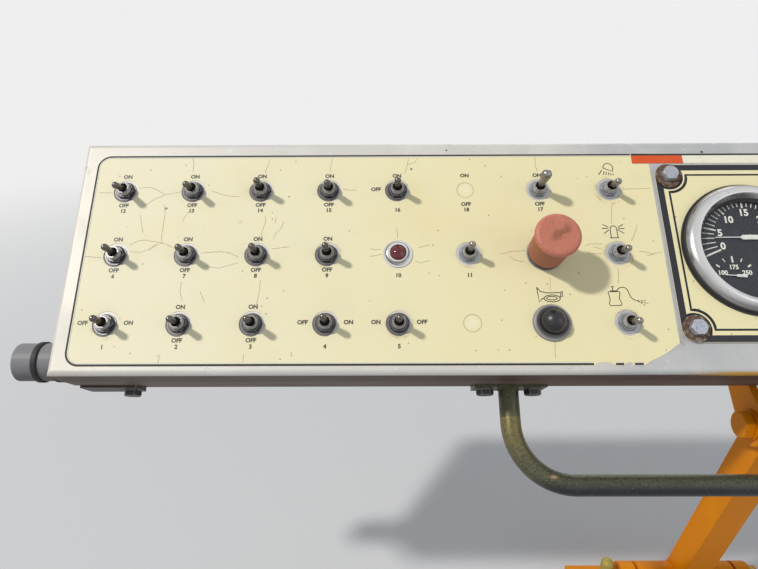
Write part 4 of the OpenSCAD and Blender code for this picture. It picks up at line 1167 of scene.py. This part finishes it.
outline = []
for sx, sy, start in ((1, 1, 0), (-1, 1, 90), (-1, -1, 180), (1, -1, 270)):
    outline += arc(sx * bolt_x, PLATE_MID + sy * bolt_y, PLATE_EDGE - BAND_IN, start, start + 90, 12)
bm = bmesh.new()
inside = bm.faces.new([bm.verts.new((x, y, PLATE_TOP)) for x, y in outline])
inside.normal_update()
bmesh.ops.inset_region(bm, faces=[inside], thickness=BAND_W, depth=0, use_even_offset=True,
                       use_boundary=True)
bmesh.ops.delete(bm, geom=[inside], context="FACES")
grown = bmesh.ops.extrude_face_region(bm, geom=list(bm.faces))["geom"]
raised = [vertex for vertex in grown if isinstance(vertex, bmesh.types.BMVert)]
bmesh.ops.translate(bm, vec=(0, 0, INK_T), verts=raised)
bmesh.ops.recalc_face_normals(bm, faces=list(bm.faces))

leave = math.degrees(math.asin((PLATE_EDGE - LINE_IN) / BOLT_ARC))
line, washer_shadow_arcs = [], []
for sx, sy, inward in ((-1, 1, 0), (-1, -1, 90), (1, -1, 180), (1, 1, 270)):
    bolt = (sx * bolt_x, PLATE_MID + sy * bolt_y)
    line += arc(*bolt, BOLT_ARC, inward + leave, inward - 90 - leave, 12)
    # Painted shadow: a thin dark arc beside each washer.
    washer_shadow_arcs.append(arc(*bolt, WASHER_ARC, inward + 30, inward - 120, 14))
add_strokes(bm, [line], LINE_W, PLATE_TOP, closed=True)
add_strokes(bm, washer_shadow_arcs, WASHER_LINE_W, PLATE_TOP)
add_piece("plate_border", bm, FACE, inks["ink_navy"], "console")

# %% [markdown]
# The dial has one large scale with its centre above the middle of the gauge, from 0 to 30 in steps of
# five, and a small scale for each of the two lower pointers. Ticks of the large scale end on a circle
# with a lower centre than their own, so their length changes along the scale. A quadratic gives that end.

# %% Scales of the large gauge
DIAL_TOP = 0.5
SCALE_UP, RIM_UP = 11, 2.6
RIM_R = 43.6
MAJOR_R, MINOR_R = 29.8, 31.3
MAJOR_W, MINOR_W = 1.9, 1.05
SCALE_START, UNIT_ANGLE, LAST_UNIT = 203, 7.5, 30
# Places of the numbers on the left, from the scale's centre. Those on the right mirror them
NUMBER_AT = {0: (-25.1, -8.2), 5: (-25.5, 4.8), 10: (-15.4, 17.9), 15: (0, 25.0)}
NUMBER_H = 6.4


def reach_to_rim(angle):
    """Distance from the scale's centre to the circle where the ticks end, in a direction."""
    apart = SCALE_UP - RIM_UP
    rise = apart * math.sin(math.radians(angle))
    return -rise + math.sqrt(rise ** 2 - apart ** 2 + RIM_R ** 2)


def tick(x, y, angle, inner, outer):
    way = math.radians(angle)
    return [(x + reach * math.cos(way), y + reach * math.sin(way)) for reach in (inner, outer)]


centre_y = PLATE_MID + SCALE_UP
major, minor, numbers = [], [], []
for value in range(LAST_UNIT + 1):
    angle = SCALE_START - UNIT_ANGLE * value
    end = reach_to_rim(angle)
    if value % 5 == 0:
        major.append(tick(GAUGE_X, centre_y, angle, MAJOR_R, end))
        across, up = NUMBER_AT[min(value, LAST_UNIT - value)]
        half = 1 if value < LAST_UNIT / 2 else -1
        numbers.append((str(value), GAUGE_X + half * across, centre_y + up, NUMBER_H))
    else:
        minor.append(tick(GAUGE_X, centre_y, angle, MINOR_R, end))
print("large scale:", len(major), "long ticks and", len(minor), "short ones")

# %% [markdown]
# The two small scales have three long ticks and two short ones each. Their numbers stand over the
# ticks, the outer two a little lower than the middle one, so they follow the scale's curve.

# %% Small scales
SMALL_DOWN, SMALL_IN, SMALL_OUT = 26, 15.4, 19.1
SMALL_TOP_IN, SMALL_NUMBER_R = 13.1, 13.2
SMALL_NUMBER_UP, SMALL_NUMBER_DROP, SMALL_NUMBER_H = 8.6, 6.466, 4.0
LONG_AT, SHORT_AT = (144.6, 90, 34.6), (117, 62.6)
# Columns: offset of a small scale across, and its numbers from left to right
SMALL = [(-19.4, ("100", "175", "250")), (19.4, ("0", "50", "100"))]
for offset, legends in SMALL:
    x, y = GAUGE_X + offset, PLATE_MID - SMALL_DOWN
    for angle, legend in zip(LONG_AT, legends):
        major.append(tick(x, y, angle, SMALL_TOP_IN if angle == 90 else SMALL_IN, SMALL_OUT))
        across = math.cos(math.radians(angle))
        up = SMALL_NUMBER_UP - SMALL_NUMBER_DROP * abs(across)
        numbers.append((legend, x + SMALL_NUMBER_R * across, y + up, SMALL_NUMBER_H))
    minor += [tick(x, y, angle, SMALL_IN, SMALL_OUT) for angle in SHORT_AT]
bm = bmesh.new()
add_strokes(bm, major, MAJOR_W, DIAL_TOP)
add_strokes(bm, minor, MINOR_W, DIAL_TOP)
add_words(bm, numbers, DIAL_TOP, bold=0.03)
add_piece("dial_scales", bm, FACE, inks["ink_white"], "console")

# %% [markdown]
# The hour meter counts with printed digits in a window of its face, half a millimetre below the rest.
# Round them runs a plain scale: one arc, and a tick every twenty degrees.

# %% Marks of the hour meter
METER_X, METER_Y = 51, PLATE_MID + 32
METER_TOP = 3.3
DIGITS_DEEP, DIGITS_DOWN, DIGITS_H = 0.5, 5.2, 4.2
METER_R, METER_IN, METER_LINE_W = 20.5, 17.5, 0.6
METER_FROM, METER_TO, METER_STEP = -20, 200, 20
ticks = [tick(METER_X, METER_Y, angle, METER_IN, METER_R)
         for angle in range(METER_FROM, METER_TO + 1, METER_STEP)]
bm = bmesh.new()
add_words(bm, [("01472", METER_X, METER_Y - DIGITS_DOWN, DIGITS_H)], METER_TOP - DIGITS_DEEP)
add_strokes(bm, [arc(METER_X, METER_Y, METER_R, METER_TO, METER_FROM, 24)], METER_LINE_W, METER_TOP)
add_strokes(bm, ticks, METER_LINE_W, METER_TOP)
add_piece("meter_marks", bm, FACE, inks["ink_black"], "console")

# %% [markdown]
# A black rubber strap is drawn tight round each end tube. Its cross-section is a flat bar with rounded
# edges, spun once round the tube's axis, which is quicker than bending a straight band and closes
# without a seam.

# %% Straps of the end tubes
TUBE_MID, TUBE_DEEP, TUBE_R = 23.8, -61, 18
STRAP_AT, STRAP_W, STRAP_T = 708.5, 5.4, 1.5
# Columns: place across the strap and height over the tube, in shares of half its width and of its height
STRAP_SECTION = [(-1, 0), (-1, 0.7), (-0.8, 1), (0.8, 1), (1, 0.7), (1, 0)]
bm = bmesh.new()
for side in (-1, 1):
    section = []
    for across, out in STRAP_SECTION:
        x = side * (STRAP_AT + across * STRAP_W / 2)
        section.append(bm.verts.new((x, TUBE_MID + TUBE_R + out * STRAP_T, TUBE_DEEP)))
    edges = [bm.edges.new(pair) for pair in zip(section, section[1:] + section[:1])]
    bmesh.ops.spin(bm, geom=section + edges, cent=(0, TUBE_MID, TUBE_DEEP), axis=(1, 0, 0),
                   angle=2 * math.pi, steps=64, use_merge=True)
bmesh.ops.recalc_face_normals(bm, faces=list(bm.faces))
smooth_faces(bm)
add_piece("tube_straps", bm, FACE, strap_rubber.material, "console")

# %% [markdown]
# The frame is welded, and a weld is a row of overlapping ripples. Each bead below is a small ball,
# flattened and changed a little at random, and repeated along a seam. A seam is a path of points in the
# axes of the weldment that it lies on: the foot's own, the leaning strut's or the face's.

# %% Weld beads
random.seed(11)
BEAD_STEP = 2.4
BEAD_LONG, BEAD_HIGH = 0.62, 0.8


def weld(name, seams, axes, body, material, radius=2.6):
    """Chains of beads along paths of points, in millimetres of the given axes."""
    bm = bmesh.new()
    for path in seams:
        for start, end in zip(path, path[1:]):
            start, end = Vector(start), Vector(end)
            count = max(1, round((end - start).length / BEAD_STEP))
            turn = (end - start).to_track_quat("X", "Z").to_matrix().to_4x4()
            for i in range(count):
                size = radius * random.uniform(0.86, 1.08)
                shape = Matrix.Diagonal((BEAD_LONG * size, size, BEAD_HIGH * size, 1))
                at = Matrix.Translation(start.lerp(end, i / count)) @ turn @ shape
                bmesh.ops.create_icosphere(bm, subdivisions=1, radius=1, matrix=at)
    smooth_faces(bm)
    add_piece(name, bm, axes, material, body)


print("a bead every", BEAD_STEP, "mm")

# %% [markdown]
# On the foot a seam runs round the base of each knuckle, and on the strut it follows the curve where
# the square tube meets the round barrel. The fork's two cheeks are welded to the plate above them, and
# the handle's legs to their flanges. Each path comes from the sizes of the pieces that meet there.

# %% Seams of the frame and the handle
PART = Matrix.Scale(MM, 4)
LOWER_PIVOT, UPPER_PIVOT = Vector((0, 0, 45)), Vector((0, -78, 333))
LEAN = math.atan2(-UPPER_PIVOT.y, UPPER_PIVOT.z - LOWER_PIVOT.z)
STRUT = PART @ Matrix.Translation(LOWER_PIVOT) @ Matrix.Rotation(LEAN, 4, "X")
BASE_T, BARREL_R = 10, 19
KNUCKLE_FROM, KNUCKLE_TO = 63.5, 81.5
STRUT_HALF, STRUT_STEP, STRUT_BEAD_R = 16, 4, 2.3
CHEEK_OUT, FORK_BACK, FORK_FRONT, FORK_UNDER = 24.5, 63, 8.5, -89
LEG_R, FLANGE_FACE, LEG_BEAD_R = 9.5, -2.2, 1.7

round_knuckles = []
for x0, x1 in ((-KNUCKLE_FROM, -KNUCKLE_TO), (KNUCKLE_FROM, KNUCKLE_TO)):
    corners = [(x0, -BARREL_R), (x1, -BARREL_R), (x1, BARREL_R), (x0, BARREL_R), (x0, -BARREL_R)]
    round_knuckles.append([(x, y, BASE_T) for x, y in corners])
weld("foot_welds", round_knuckles, PART, "foot", yellow.material)

over_barrel = [(y, math.sqrt(BARREL_R ** 2 - y ** 2)) for y in range(-STRUT_HALF, STRUT_HALF + 1, STRUT_STEP)]
left = [(-STRUT_HALF, y, z) for y, z in over_barrel]
right = [(STRUT_HALF, y, z) for y, z in over_barrel]
weld("strut_welds", [left + right[::-1] + left[:1]], STRUT, "strut", yellow.material,
     STRUT_BEAD_R)

along_cheeks = [[(x, FORK_FRONT, FORK_UNDER), (x, FORK_BACK, FORK_UNDER)] for x in (-CHEEK_OUT, CHEEK_OUT)]
weld("fork_welds", along_cheeks, FACE, "console", yellow.material)

round_legs = [[(x, FLANGE_FACE, z) for x, z in ellipse(side * GRIP_LEFT, GRIP_DEEP, LEG_R, LEG_R, 16)]
              for side in (-1, 1)]
weld("handle_welds", round_legs, FACE, "console", grip.material, LEG_BEAD_R)
